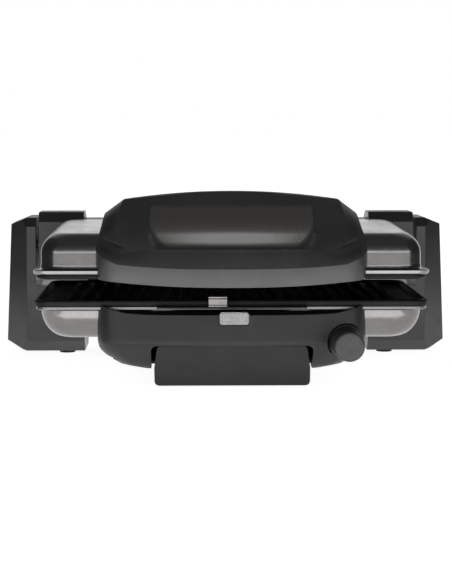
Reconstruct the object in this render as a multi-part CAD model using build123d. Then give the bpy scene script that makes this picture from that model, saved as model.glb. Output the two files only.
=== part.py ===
"""Panini press with a floating lid: every piece as its own closed solid, in millimetres.

Frame: +X to the user's right, +Y to the back, +Z up. The origin is under the middle of the
bounding box, on the table. The lid is modelled parallel to the lower plate, raised for bread.
"""

from build123d import *
import os

# ---------------------------------------------------------------- driving dimensions
FRONT_PLANE = -124.0        # front face of the drip tray
KNOB_FACE = -148.0          # foremost point of the object
BACK_PLANE = 148.0          # rear face of the towers
WALL = 2.8                  # moulded plastic wall
SHEET = 1.2                 # pressed metal wall
GAP = 0.4                   # clearance between neighbouring pieces

# metal casings
SHELL_X = 148.0
SHELL_FRONT, SHELL_BACK = -104.0, 70.0
SHELL_CORNER = 25.0         # corner radius seen from above
SHELL_EDGE = 16.0           # radius where the walls turn into the top or the bottom
FLANGE_REACH = 5.0          # how far the casing's flange stands out past its wall
LOWER_SHELL_BOTTOM, LOWER_SHELL_TOP = 34.5, 58.5
UPPER_SHELL_BOTTOM = 84.7
UPPER_SHELL_SHOULDER = 87.4
UPPER_SHELL_TOP_FRONT, UPPER_SHELL_TOP_BACK = 116.5, 120.5

# grill plates
PLATE_X = 146.0
PLATE_FRONT, PLATE_BACK = -102.0, 68.0
PLATE_CORNER = 22.0
RIB_PITCH, RIB_COUNT = 11.0, 24
RIB_FRONT, RIB_BACK = -92.0, 58.0
RIB_HEIGHT, RIB_FOOT, RIB_CREST = 4.0, 5.2, 3.0
LOWER_GUTTER, LOWER_DECK, LOWER_RIM = 58.0, 61.5, 63.5
UPPER_GUTTER, UPPER_DECK, UPPER_RIM = 88.5, 85.3, 85.6
SPOUT_X = 57.0

# towers and hinge
TOWER_IN, TOWER_FACE, TOWER_OUT = 124.0, 174.0, 193.5
TOWER_FRONT = 81.0
TOWER_BOTTOM, TOWER_TOP = 2.0, 119.0
NOTCH_X, NOTCH_FLOOR = 166.0, 60.0
BACK_WALL, BACK_WALL_TOP = 137.4, 68  # wall behind the lid's covers that closes the gap under them
HINGE_Y, HINGE_Z = 112.0, 94.0
SHAFT_R, SHAFT_RUN = 4.0, 0.05
FLOAT_DOWN, FLOAT_UP = 7.0, 12.0
COVER_X0, COVER_X1 = 124.0, 163.6
COVER_BOTTOM, COVER_TOP = 69.0, 124.0
BARREL_R = 24.0             # rear of the lid, round about the hinge
ARM_X0, ARM_X1 = 140.0, 143.0
BLOCK_HALF = 7.0

# base below the casing
PAN_X, PAN_BOTTOM, PAN_FRONT, PAN_BACK = 96.0, 14.0, -90.0, 76.0
HOUSING_BOTTOM = 17.0
LEG_X, LEG_Y, LEG_R = 52.3, -84.0, 5.6
BAY_X, BAY_ROOF = 50.0, 26.5
TRAY_X, TRAY_FACE_X, TRAY_FLOOR = 46.0, 59.5, 4.0
TRAY_FACE_BOTTOM, TRAY_FACE_TOP = 1.5, 30.0
FOOT_PAD = 2.0

# front pieces
FASCIA_X, FASCIA_TOP = 103.5, 55.4
HOOD_X, HOOD_TOP = 105.0, 148.7
LIP_WEB, LINER = 84.0, 1.6  # underside of the grip bar, and its liner's wall
KNOB_X, KNOB_Z, KNOB_R = 87.6, 33.8, 11.6
POCKET_R = 15.8
LENS_X, LENS_W = 1.4, 22.4
LAMP_PLACES = (LENS_X - 5.5, LENS_X + 5.5)
GLAND_X, GLAND_Z, GLAND_R = 70.0, 32.0, 4.2


# ---------------------------------------------------------------- small builders
def block(x0, x1, y0, y1, z0, z1):
    """A box between two corners."""
    size = (x1 - x0, y1 - y0, z1 - z0)
    return Pos((x0 + x1) / 2, (y0 + y1) / 2, (z0 + z1) / 2) * Box(*size)


def rod(axis, radius, at, start, end):
    """A cylinder along one axis, at the two other coordinates, from start to end."""
    length, middle = end - start, (start + end) / 2
    if axis == "X":
        return Pos(middle, at[0], at[1]) * Rot(0, 90, 0) * Cylinder(radius, length)
    if axis == "Y":
        return Pos(at[0], middle, at[1]) * Rot(90, 0, 0) * Cylinder(radius, length)
    return Pos(at[0], at[1], middle) * Cylinder(radius, length)


def slab(half_x, y0, y1, corner, z0, z1):
    """A flat slab with rounded corners, centred on X = 0."""
    outline = RectangleRounded(2 * half_x, y1 - y0, corner)
    return Pos(0, (y0 + y1) / 2, z0) * extrude(outline, z1 - z0)


def outline(points):
    """A polygon's face in the drawing plane; a point of three pairs is an arc's middle and end."""
    edges = []
    here = points[0]
    for point in points[1:] + [points[0]]:
        if isinstance(point[0], tuple):
            middle, end = point
            edges.append(ThreePointArc(here, middle, end))
            here = end
        else:
            edges.append(Line(here, point))
            here = point
    return make_face(edges)


def seen_from_above(face, z0, z1):
    """Extrudes a face drawn as (x, y) from z0 to z1."""
    return Pos(0, 0, z0) * extrude(face, z1 - z0)


def seen_from_front(face, y0, y1):
    """Extrudes a face drawn as (x, z) from y0 to y1."""
    plane = Plane((0, y1, 0), x_dir=(1, 0, 0), z_dir=(0, -1, 0))
    return extrude(plane * face, y1 - y0)


def seen_from_side(face, x0, x1):
    """Extrudes a face drawn as (y, z) from x0 to x1."""
    plane = Plane((x0, 0, 0), x_dir=(0, 1, 0), z_dir=(1, 0, 0))
    return extrude(plane * face, x1 - x0)


def inset(face, amount):
    """The same face, smaller all round."""
    return offset(face, amount=-amount, kind=Kind.INTERSECTION) if amount else face


def mirrored(shape):
    """The same piece on the other side of X = 0."""
    return mirror(shape, about=Plane.YZ)


def tidy(shape):
    """One compound of the shape's solids."""
    return Compound(children=list(shape.solids()))


# ---------------------------------------------------------------- casings
def dome(half_x, y0, y1, z_open, z_front, z_back, corner, edge):
    """A rounded box whose closed side slopes from z_front to z_back; z_open is its open side."""
    side = outline([(y0, z_open), (y1, z_open), (y1, z_back), (y0, z_front)])
    body = seen_from_side(side, -half_x, half_x)
    body = fillet(body.edges().filter_by(Axis.Z), corner)
    far = body.faces().sort_by(Axis.Z)[-1 if z_front > z_open else 0]
    return fillet(far.edges(), edge)


def upper_shell():
    """Pressed lid casing with a rolled flange; two slots let the hinge arms out at the back."""
    top = (UPPER_SHELL_TOP_FRONT, UPPER_SHELL_TOP_BACK)
    outer = dome(SHELL_X, SHELL_FRONT, SHELL_BACK, UPPER_SHELL_SHOULDER, *top, SHELL_CORNER, SHELL_EDGE)
    inner = dome(SHELL_X - SHEET, SHELL_FRONT + SHEET, SHELL_BACK - SHEET, UPPER_SHELL_SHOULDER,
                 top[0] - SHEET, top[1] - SHEET, SHELL_CORNER - SHEET, SHELL_EDGE - SHEET)
    reach = (SHELL_X + FLANGE_REACH, SHELL_FRONT - FLANGE_REACH, SHELL_BACK + FLANGE_REACH)
    flange = slab(*reach, 18, UPPER_SHELL_BOTTOM, UPPER_SHELL_SHOULDER + 1.4)
    flange = fillet(flange.faces().sort_by(Axis.Z)[-1].edges(), 1.0)
    well = slab(reach[0] - 1.5, reach[1] + 1.5, reach[2] - 1.5, 16.5, UPPER_SHELL_BOTTOM - 1,
                UPPER_SHELL_SHOULDER)
    mouth = slab(SHELL_X - SHEET, SHELL_FRONT + SHEET, SHELL_BACK - SHEET, SHELL_CORNER - SHEET,
                 UPPER_SHELL_SHOULDER - 1, UPPER_SHELL_SHOULDER + 2)
    shell = flange + outer - inner - well - mouth
    for side in (-1, 1):
        middle = side * (ARM_X0 + ARM_X1) / 2
        shell -= block(middle - 2, middle + 2, SHELL_BACK - 16, SHELL_BACK + 1, 91.5, 102.5)
    return tidy(shell)


def lower_shell():
    """Pressed base casing, with a cut-out at the front for the thermostat."""
    z_open, bottom = LOWER_SHELL_TOP, LOWER_SHELL_BOTTOM
    outer = dome(SHELL_X, SHELL_FRONT, SHELL_BACK, z_open, bottom, bottom, SHELL_CORNER, SHELL_EDGE)
    inner = dome(SHELL_X - SHEET, SHELL_FRONT + SHEET, SHELL_BACK - SHEET, z_open, bottom + SHEET,
                 bottom + SHEET, SHELL_CORNER - SHEET, SHELL_EDGE - SHEET)
    flange = slab(SHELL_X + 3, SHELL_FRONT - 3, SHELL_BACK + 3, 24, z_open, z_open + 1.5)
    mouth = slab(SHELL_X - SHEET, SHELL_FRONT + SHEET, SHELL_BACK - SHEET, SHELL_CORNER - SHEET,
                 z_open - 1, z_open + 2)
    shell = flange + outer - inner - mouth
    shell -= block(KNOB_X - 13.5, KNOB_X + 13.5, SHELL_FRONT - 1, -91, bottom - 1, 48)
    return tidy(shell)


# ---------------------------------------------------------------- grill plates
def ribs(z_foot, z_crest):
    """The parallel searing ribs, each wider at its foot."""
    low, high = sorted((z_foot, z_crest))
    foot, crest = (RIB_FOOT, RIB_CREST) if z_crest > z_foot else (RIB_CREST, RIB_FOOT)
    rows = []
    for i in range(RIB_COUNT):
        x = (i - (RIB_COUNT - 1) / 2) * RIB_PITCH
        section = outline([(x - foot / 2, low), (x + foot / 2, low), (x + crest / 2, high), (x - crest / 2, high)])
        rows.append(seen_from_front(section, RIB_FRONT, RIB_BACK))
    return rows


def lower_grill_plate():
    """Cast plate: raised rim, drain gutter, ribbed deck and a pouring lip at the front."""
    body = slab(PLATE_X + 6.5, PLATE_FRONT - 7, PLATE_BACK + 7, 14, 60.1, LOWER_RIM)
    body += slab(PLATE_X, PLATE_FRONT, PLATE_BACK, PLATE_CORNER, 55.5, 60.2)
    body -= slab(PLATE_X + 4, PLATE_FRONT - 4.5, PLATE_BACK + 4.5, 11.5, 61.4, LOWER_RIM + 1)
    body -= slab(PLATE_X - 2.5, PLATE_FRONT + 2.5, PLATE_BACK - 2.5, 19.5, LOWER_GUTTER, LOWER_RIM + 1)
    body -= block(-SPOUT_X + 3, SPOUT_X - 3, PLATE_FRONT - 8, PLATE_FRONT + 3, 60.9, LOWER_RIM + 1)
    body += block(-SPOUT_X, SPOUT_X, PLATE_FRONT - 14, PLATE_FRONT - 6.5, 59.7, 60.9)
    body += slab(137, -96, 62, 12, LOWER_GUTTER - 0.5, LOWER_DECK)
    body += ribs(LOWER_DECK - 0.2, LOWER_DECK + RIB_HEIGHT)
    return tidy(body)


def upper_grill_plate():
    """The lid's plate, facing down, held inside the casing's rolled flange."""
    body = slab(PLATE_X + 5, PLATE_FRONT - 5, PLATE_BACK + 5, 15.5, UPPER_RIM, 87.3)
    body += slab(PLATE_X, PLATE_FRONT, PLATE_BACK, PLATE_CORNER, 87.2, 91)
    body -= slab(PLATE_X - 2.5, PLATE_FRONT + 2.5, PLATE_BACK - 2.5, 19.5, UPPER_RIM - 1, UPPER_GUTTER)
    body += slab(137, -96, 62, 12, UPPER_DECK, UPPER_GUTTER + 0.5)
    body += ribs(UPPER_DECK + 0.2, UPPER_DECK - RIB_HEIGHT)
    return tidy(body)


def heating_element(z):
    """Tubular heater bent round the plate, with its two ceramic ends at the back."""
    path = FilletPolyline((-35, 50, z), (-112, 50, z), (-112, -78, z), (112, -78, z), (112, 50, z), (35, 50, z),
                          radius=28)
    tube = sweep(Plane(path @ 0, z_dir=path % 0) * Circle(3.2), path)
    pieces = [tube]
    for side in (-1, 1):
        x0, x1 = sorted((side * 35, side * 21))
        pieces.append(rod("X", 3.8, (50, z), x0, x1))
        x0, x1 = sorted((side * 21, side * 12))
        pieces.append(rod("X", 1.2, (50, z), x0, x1))
    joined = pieces[0]
    for piece in pieces[1:]:
        joined += piece
    return tidy(joined)


def reflector(z0, z1, open_up):
    """Thin bright pan behind a heating element; its rim points to the plate."""
    body = slab(128, -90, 58, 12, z0, z1)
    hollow = (z0 + 0.8, z1 + 1) if open_up else (z0 - 1, z1 - 0.8)
    return tidy(body - slab(127.2, -89.2, 57.2, 11.2, *hollow))


def plate_clip():
    """Sprung steel clip that holds the lower plate: a strip with a rolled top."""
    x0, x1, y, z0 = -17.9, -3.8, PLATE_FRONT - 9.4, 60.9
    strip = block(x0, x1, y - 0.5, y + 0.5, z0, 68.2)
    roll = rod("X", 1.5, (y - 0.6, 68.0), x0, x1) - rod("X", 0.8, (y - 0.6, 68.0), x0 - 1, x1 + 1)
    foot = block(x0, x1, y - 3.2, y + 0.5, z0, z0 + 0.9)
    return tidy(strip - rod("X", 1.5, (y - 0.6, 68.0), x0 - 1, x1 + 1) + roll + foot)


# ---------------------------------------------------------------- towers
def tower_form(shrink):
    """The tower's solid form: its outlines from above, from the front and from the side, crossed."""
    above = outline([(TOWER_IN, TOWER_FRONT), (TOWER_FACE, TOWER_FRONT), (TOWER_OUT, 104), (TOWER_OUT, 138),
                     (184, BACK_PLANE), (TOWER_IN, BACK_PLANE)])
    front = outline([(TOWER_IN, TOWER_BOTTOM), (175, TOWER_BOTTOM), (TOWER_OUT, 10), (188.7, 113),
                     (TOWER_FACE, TOWER_TOP), (TOWER_IN, TOWER_TOP)])
    side = outline([(88, TOWER_BOTTOM), (TOWER_FRONT, 11.4), (TOWER_FRONT, 111.5), (88, TOWER_TOP),
                    (141, TOWER_TOP), (BACK_PLANE, 111.5), (BACK_PLANE, 11.4), (141, TOWER_BOTTOM)])
    form = seen_from_above(inset(above, shrink), 0, 130)
    form &= seen_from_front(inset(front, shrink), 70, 160)
    return form & seen_from_side(inset(side, shrink), 120, 200)


def tower():
    """Hollow hinge tower, open below, notched for the lid's hinge cover and slotted for the shaft."""
    notch = block(TOWER_IN - 1, NOTCH_X, 70, 160, NOTCH_FLOOR, 130)
    lining = block(TOWER_IN - 1, NOTCH_X + WALL, 70, 160, NOTCH_FLOOR - WALL, 130)
    mouth = (tower_form(WALL) & block(120, 200, 70, 160, 0, 12)).moved(Location((0, 0, -WALL - 1)))
    body = tower_form(0) - notch - (tower_form(WALL) - lining) - mouth
    slot_low = HINGE_Z - FLOAT_DOWN - SHAFT_R - 1
    slot_high = HINGE_Z + FLOAT_UP + SHAFT_R + 1
    body -= block(NOTCH_X - 1, NOTCH_X + WALL + 1, HINGE_Y - 5, HINGE_Y + 5, slot_low, slot_high)
    return tidy(body)


def tower_floor():
    """Cover that closes the tower from below."""
    plate = tower_form(WALL + 3.2) & block(120, 200, 70, 160, 0, 12)
    low = plate.bounding_box().min.Z
    plate = plate & block(120, 200, 70, 160, low, low + 2.4)
    return tidy(plate.moved(Location((0, 0, TOWER_BOTTOM - low))))


def guide_rail():
    """Steel channel in the tower that the slide block runs in."""
    half = BLOCK_HALF + 0.3
    x0, x1 = 169.4, 178.9
    channel = block(x0, x1, HINGE_Y - half - 1.5, HINGE_Y + half + 1.5, 62, 111)
    return tidy(channel - block(x0 - 1, x1 - 1.5, HINGE_Y - half, HINGE_Y + half, 61, 112))


def slide_block():
    """Nylon block on the shaft's end."""
    body = block(169.6, 177.2, HINGE_Y - BLOCK_HALF, HINGE_Y + BLOCK_HALF, HINGE_Z - BLOCK_HALF,
                 HINGE_Z + BLOCK_HALF)
    body = chamfer(body.edges().filter_by(Axis.X), 1.5)
    return tidy(body - rod("X", SHAFT_R + SHAFT_RUN, (HINGE_Y, HINGE_Z), 160, 180))


def retaining_rings():
    """Four rings that keep the hinge arms in place along the shaft."""
    rings = []
    for side in (-1, 1):
        for near, far in ((ARM_X0 - 2, ARM_X0 - 0.3), (ARM_X1 + 0.3, ARM_X1 + 2)):
            x0, x1 = sorted((side * near, side * far))
            ring = rod("X", 7, (HINGE_Y, HINGE_Z), x0, x1)
            rings += (ring - rod("X", SHAFT_R, (HINGE_Y, HINGE_Z), x0 - 1, x1 + 1)).solids()
    return Compound(children=rings)


# ---------------------------------------------------------------- lid hinge pieces
def cover_side(shrink):
    """The hinge cover's outline from the side: flat front, round rear about the hinge."""
    reach = BARREL_R * 0.7071
    face = outline([
        (TOWER_FRONT, COVER_BOTTOM), (TOWER_FRONT, 115.6), (87, COVER_TOP), (116, COVER_TOP),
        ((131, 112), (HINGE_Y + BARREL_R, HINGE_Z)),
        ((HINGE_Y + reach, HINGE_Z - reach), (HINGE_Y, COVER_BOTTOM))])
    return inset(face, shrink)


def hinge_cover():
    """Hollow cover round the hinge, part of the lid; the arm enters by a slot in its front."""
    body = seen_from_side(cover_side(0), COVER_X0, COVER_X1)
    body -= seen_from_side(cover_side(2.5), COVER_X0 + 2.5, COVER_X1 - 2.5)
    body -= rod("X", SHAFT_R + 1, (HINGE_Y, HINGE_Z), COVER_X0 - 1, COVER_X1 + 1)
    middle = (ARM_X0 + ARM_X1) / 2
    return tidy(body - block(middle - 2, middle + 2, TOWER_FRONT - 1, TOWER_FRONT + 4, 88, 102.5))


def hinge_arm():
    """Steel arm, riveted inside the lid casing and bored for the shaft."""
    side = outline([(-20, 92), (78, 92), (HINGE_Y, 86), ((HINGE_Y + 8, HINGE_Z), (HINGE_Y, 102)), (-20, 102)])
    body = seen_from_side(side, ARM_X0, ARM_X1)
    return tidy(body - rod("X", SHAFT_R + SHAFT_RUN, (HINGE_Y, HINGE_Z), ARM_X0 - 1, ARM_X1 + 1))


def lid_rear_cover():
    """Hollow barrel between the hinge covers that closes the lid at the back."""
    reach = BARREL_R * 0.7071
    face = outline([
        (SHELL_BACK + GAP, 92), (SHELL_BACK + GAP, 117), (HINGE_Y, HINGE_Z + BARREL_R),
        ((HINGE_Y + reach, HINGE_Z + reach), (HINGE_Y + BARREL_R, HINGE_Z)),
        ((HINGE_Y + reach, HINGE_Z - reach), (HINGE_Y, COVER_BOTTOM)), (86, 72), (86, 92)])
    half = COVER_X0 - GAP
    body = seen_from_side(face, -half, half) - seen_from_side(inset(face, 2.5), 2.5 - half, half - 2.5)
    return tidy(body - rod("X", SHAFT_R + 1, (HINGE_Y, HINGE_Z), -half - 1, half + 1))


# ---------------------------------------------------------------- front of the lid
def hood_plan():
    """The hood's outline from above."""
    return outline([(-HOOD_X, -8), (-HOOD_X, -108), (-90, -122.5), ((0, -130), (90, -122.5)), (HOOD_X, -108),
                    (HOOD_X, -8)])


def hood_form(shrink):
    """The hood's solid form: sloping face, bowed front, cut corners."""
    side = outline([(-127.5, 70), (-130, 91), (-125.5, 105), (-86, HOOD_TOP + 0.6), (-62, HOOD_TOP - 3),
                    (-8, 121), (-8, 70)])
    front = outline([(-HOOD_X, 82.3), ((0, 76.7), (HOOD_X, 82.3)), (101.8, 117), (99, 131), (83.3, 142.3),
                     ((0, HOOD_TOP), (-83.3, 142.3)), (-99, 131), (-101.8, 117)])
    form = seen_from_side(inset(side, shrink), -120, 120)
    form &= seen_from_front(inset(front, shrink), -140, 0)
    return form & seen_from_above(inset(hood_plan(), shrink), 60, 160)


def grip_pocket(grow):
    """The hand pocket behind the grip bar, larger all round by grow."""
    side = outline([(-116.5, 97), (-107.6, 97), (-107.6, 114), (-99.5, 131), (-96, 138.5), (-150, 138.5),
                    (-150, 105), (-119, 105), (-116.5, 102.5)])
    if grow:
        side = offset(side, amount=grow, kind=Kind.INTERSECTION)
    return seen_from_side(side, -63 - grow, 63 + grow)


def lid_hood():
    """Moulded handle hood over the front of the lid, hollow, with a well for the grip liner."""
    top = (UPPER_SHELL_TOP_FRONT + GAP, UPPER_SHELL_TOP_BACK + GAP)
    casing = dome(SHELL_X + GAP, SHELL_FRONT - GAP, SHELL_BACK + GAP, UPPER_SHELL_SHOULDER, *top,
                  SHELL_CORNER, SHELL_EDGE)
    casing += slab(SHELL_X + FLANGE_REACH + GAP, SHELL_FRONT - FLANGE_REACH - GAP, SHELL_BACK + 5, 18,
                   60, UPPER_SHELL_SHOULDER + 1.8)
    body = hood_form(0) - grip_pocket(LINER)
    body -= (hood_form(WALL) & block(-120, 120, -140, 0, LIP_WEB + WALL, 160)) - grip_pocket(LINER + 2)
    body -= seen_from_above(inset(hood_plan(), 3), 60, LIP_WEB)
    body -= casing
    body = body.solids().sort_by(SortBy.VOLUME)[-1]
    return tidy(body)


def grip_liner():
    """Thin moulded liner of the hand pocket."""
    body = grip_pocket(LINER - 0.05) & hood_form(0.2)
    return tidy(body - grip_pocket(0))


# ---------------------------------------------------------------- base front
def fascia_form(shrink):
    """The lower fascia's solid form, with its undercut lower facet and cut corners."""
    side = outline([(-128, 33), (-128, 62), (-90, 62), (-90, 14), (-113, 14)])
    front = outline([(-FASCIA_X, 61.5), (-FASCIA_X, 37), (-97.4, 26.6), (-82, 16.3), (-63, 14), (63, 14),
                     (82, 16.3), (97.4, 26.6), (FASCIA_X, 37), (FASCIA_X, 61.5), (100, 61.5), (94, 56.5),
                     (84, FASCIA_TOP), (-84, FASCIA_TOP), (-94, 56.5), (-100, 61.5)])
    above = outline([(-FASCIA_X, -90), (-FASCIA_X, -109), (-90, -121), ((0, -128), (90, -121)),
                     (FASCIA_X, -109), (FASCIA_X, -90)])
    form = seen_from_side(inset(side, shrink), -120, 120)
    form &= seen_from_front(inset(front, shrink), -140, 0)
    return form & seen_from_above(inset(above, shrink), 10, 70)


def lower_fascia():
    """Moulded front of the base: open on top, with the tray's opening and the knob's pocket."""
    form = fascia_form(0)
    cavity = fascia_form(WALL) + block(-98, 98, -116, -80, 40, 70) + block(-84, 84, -118, -80, 40, 70)
    pocket_floor = -114.0
    tube = rod("Y", POCKET_R + 2, (KNOB_X, KNOB_Z), -140, pocket_floor + 2.5) & form
    body = form - (cavity & form) + tube
    body -= rod("Y", POCKET_R, (KNOB_X, KNOB_Z), -160, pocket_floor)
    body -= rod("Y", 4.5, (KNOB_X, KNOB_Z), -160, -80)
    opening = outline([(-62, 0), (-62, 27), ((-60.8, 29.8), (-58, 31)), (58, 31), ((60.8, 29.8), (62, 27)), (62, 0)])
    body -= seen_from_front(opening, -140, -80)
    body -= block(-120, 120, SHELL_FRONT - GAP, -80, LOWER_SHELL_BOTTOM - GAP, 70)
    body -= block(-160, 160, -110.5, -80, 57, 70)
    body -= block(LENS_X - LENS_W / 2 - 0.2, LENS_X + LENS_W / 2 + 0.2, -131, -124.2, 47.8, 70)
    for x in LAMP_PLACES:
        body -= rod("Y", 2.5, (x, 52.5), -126, -110)
    body = body.solids().sort_by(SortBy.VOLUME)[-1]
    return tidy(body)


def indicator_lens():
    """Clear block set into the fascia's top edge, with bevelled edges."""
    body = block(LENS_X - LENS_W / 2, LENS_X + LENS_W / 2, -129.6, -124.4, 48, 57.9)
    return tidy(chamfer(body.faces().sort_by(Axis.Y)[0].edges(), 0.9))


def indicator_lamps():
    """Two small neon lamps behind the lens."""
    lamps = []
    for x in LAMP_PLACES:
        bulb = rod("Y", 2.2, (x, 52.5), -124.2, -117)
        lamps += (bulb + rod("Y", 0.4, (x, 52.5), -117, -113)).solids()
    return Compound(children=lamps)


def control_knob():
    """Plain round knob with a fine edge chamfer and a small pointer groove."""
    body = rod("Y", KNOB_R, (KNOB_X, KNOB_Z), KNOB_FACE, -116)
    body = chamfer(body.faces().sort_by(Axis.Y)[0].edges(), 1.0)
    body += rod("Y", KNOB_R + 1.9, (KNOB_X, KNOB_Z), -118, -115)
    body -= block(KNOB_X - 0.6, KNOB_X + 0.6, KNOB_FACE - 1, KNOB_FACE + 0.6, KNOB_Z + 4, KNOB_Z + 10.4)
    return tidy(body - rod("Y", 3, (KNOB_X, KNOB_Z), -132, -114))


def thermostat_spindle():
    """The thermostat's turning spindle, pressed into the knob."""
    return tidy(rod("Y", 3, (KNOB_X, KNOB_Z), -132, -105))


def thermostat():
    """Thermostat body behind the knob, bored for its spindle."""
    body = block(KNOB_X - 12, KNOB_X + 5.5, -110.8, -93, 28, 46)
    body = fillet(body.edges().filter_by(Axis.Y), 3)
    return tidy(body - rod("Y", 3.06, (KNOB_X, KNOB_Z), -112, -104))


# ---------------------------------------------------------------- base underside
def base_pan():
    """Moulded underbody with the tray's bay, its two rails and the front legs."""
    z0, z1 = PAN_BOTTOM, LOWER_SHELL_BOTTOM
    body = block(-PAN_X, PAN_X, PAN_FRONT, PAN_BACK - GAP, z0, z1)
    body = chamfer(body.edges().filter_by(Axis.Y).group_by(Axis.Z)[0], 6)
    hollow = block(WALL - PAN_X, PAN_X - WALL, PAN_FRONT - 1, PAN_BACK - GAP - WALL, z0 + WALL, z1 + 1)
    bay = block(-BAY_X - WALL, BAY_X + WALL, PAN_FRONT - 1, 10, z0 - 1, BAY_ROOF + WALL)
    body -= hollow - bay
    body -= block(-BAY_X, BAY_X, PAN_FRONT - 1, 10 - WALL, z0 - 1, BAY_ROOF)
    for side in (-1, 1):
        x0, x1 = sorted((side * (TRAY_X + 0.6), side * (BAY_X + 0.5)))
        body += block(x0, x1, PAN_FRONT, 10 - WALL, 17, 20.4)
        body += rod("Z", LEG_R, (side * LEG_X, LEG_Y), FOOT_PAD, z0 + 1)
    return tidy(body)


def drip_tray():
    """Pull-out grease tray: front plate, tub and two side lips that run on the rails."""
    back = 5.0
    y0 = FRONT_PLANE
    face = outline([(-58.5, TRAY_FACE_BOTTOM), (58.5, TRAY_FACE_BOTTOM), (TRAY_FACE_X, 4.5), (TRAY_FACE_X, 15),
                    (57.4, 17), (57.4, 28), (55.4, TRAY_FACE_TOP), (-55.4, TRAY_FACE_TOP), (-57.4, 28),
                    (-57.4, 17), (-TRAY_FACE_X, 15), (-TRAY_FACE_X, 4.5)])
    body = seen_from_front(face, y0, y0 + 3)
    tub = block(-TRAY_X, TRAY_X, y0 + 2, back, TRAY_FLOOR, 23)
    tub = chamfer(tub.edges().filter_by(Axis.Y).group_by(Axis.Z)[0], 4)
    body += tub
    for side in (-1, 1):
        x0, x1 = sorted((side * (TRAY_X - 1), side * (BAY_X - 0.6)))
        body += block(x0, x1, y0 + 36, back, 20.9, 23)
    well = block(2 - TRAY_X, TRAY_X - 2, y0 + 5, back - 2, TRAY_FLOOR + 2, 40)
    return tidy(body - chamfer(well.edges().filter_by(Axis.Y).group_by(Axis.Z)[0], 4))


def rear_housing():
    """Moulded box between the towers, open below, for the wiring."""
    body = block(-TOWER_IN, TOWER_IN, PAN_BACK, 140, HOUSING_BOTTOM, 56)
    body = chamfer(body.edges().filter_by(Axis.X).sort_by(lambda e: e.center().Y + e.center().Z)[-1], 8)
    body -= block(WALL - TOWER_IN, TOWER_IN - WALL, PAN_BACK + WALL, 140 - WALL, 0, 56 - WALL) - \
        block(-200, 200, 125, 150, 45, 60)
    body += block(-TOWER_IN, TOWER_IN, BACK_WALL, 140, 40, BACK_WALL_TOP)
    return tidy(body - rod("Y", GLAND_R + 2.2, (GLAND_X, GLAND_Z), 130, 150))


def rear_housing_cover():
    """Bottom cover of the rear housing, with two rows of cooling slots."""
    inner = TOWER_IN - WALL - 0.3
    z0, z1 = HOUSING_BOTTOM, HOUSING_BOTTOM + 2.4
    plate = block(-inner, inner, PAN_BACK + WALL + 0.3, 140 - WALL - 0.3, z0, z1)
    for i in range(-6, 7):
        for y in (92, 112):
            plate -= block(i * 12 - 2, i * 12 + 2, y, y + 14, z0 - 1, z1 + 1)
    return tidy(plate)


def cord_gland():
    """Rubber bush in the rear wall that the mains lead leaves by."""
    neck = rod("Y", GLAND_R + 2.2, (GLAND_X, GLAND_Z), 136.5, 140)
    body = neck + rod("Y", GLAND_R + 4.2, (GLAND_X, GLAND_Z), 134, 137.2)
    body += rod("Y", GLAND_R + 4.2, (GLAND_X, GLAND_Z), 140, 142)
    body += rod("Y", GLAND_R + 2.6, (GLAND_X, GLAND_Z), 142, BACK_PLANE)
    return tidy(body - rod("Y", GLAND_R, (GLAND_X, GLAND_Z), 130, 150))


def terminal_block():
    """Ceramic terminal strip in the rear housing."""
    body = block(-18, 18, 98, 114, HOUSING_BOTTOM + 2.4, 31)
    for i in range(3):
        body -= rod("Z", 2.4, (-12 + 12 * i, 106), 25, 33)
    return tidy(body)


def thermal_fuse(x, y, z0, z1):
    """Thermal cut-out clipped to a reflector."""
    return tidy(rod("Z", 7, (x, y), z0, z1) + block(x - 11, x + 11, y - 3, y + 3, z0, z0 + 1.2))


def pads(places, radius):
    """Round rubber pads, from the table up to the underside they are fixed to."""
    discs = []
    for x, y in places:
        pad = rod("Z", radius, (x, y), 0, FOOT_PAD)
        discs += chamfer(pad.faces().sort_by(Axis.Z)[0].edges(), 0.5).solids()
    return Compound(children=discs)


def screws(places):
    """Pan-head screws with a cross slot; each place is x, y and the face that the head sits on."""
    made = []
    for x, y, z in places:
        head = rod("Z", 2.9, (x, y), z - 1.3, z)
        head = chamfer(head.faces().sort_by(Axis.Z)[0].edges(), 0.4)
        for across in ((2.0, 0.35), (0.35, 2.0)):
            head -= block(x - across[0], x + across[0], y - across[1], y + across[1], z - 2, z - 0.6)
        made += head.solids()
    return Compound(children=made)


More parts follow.
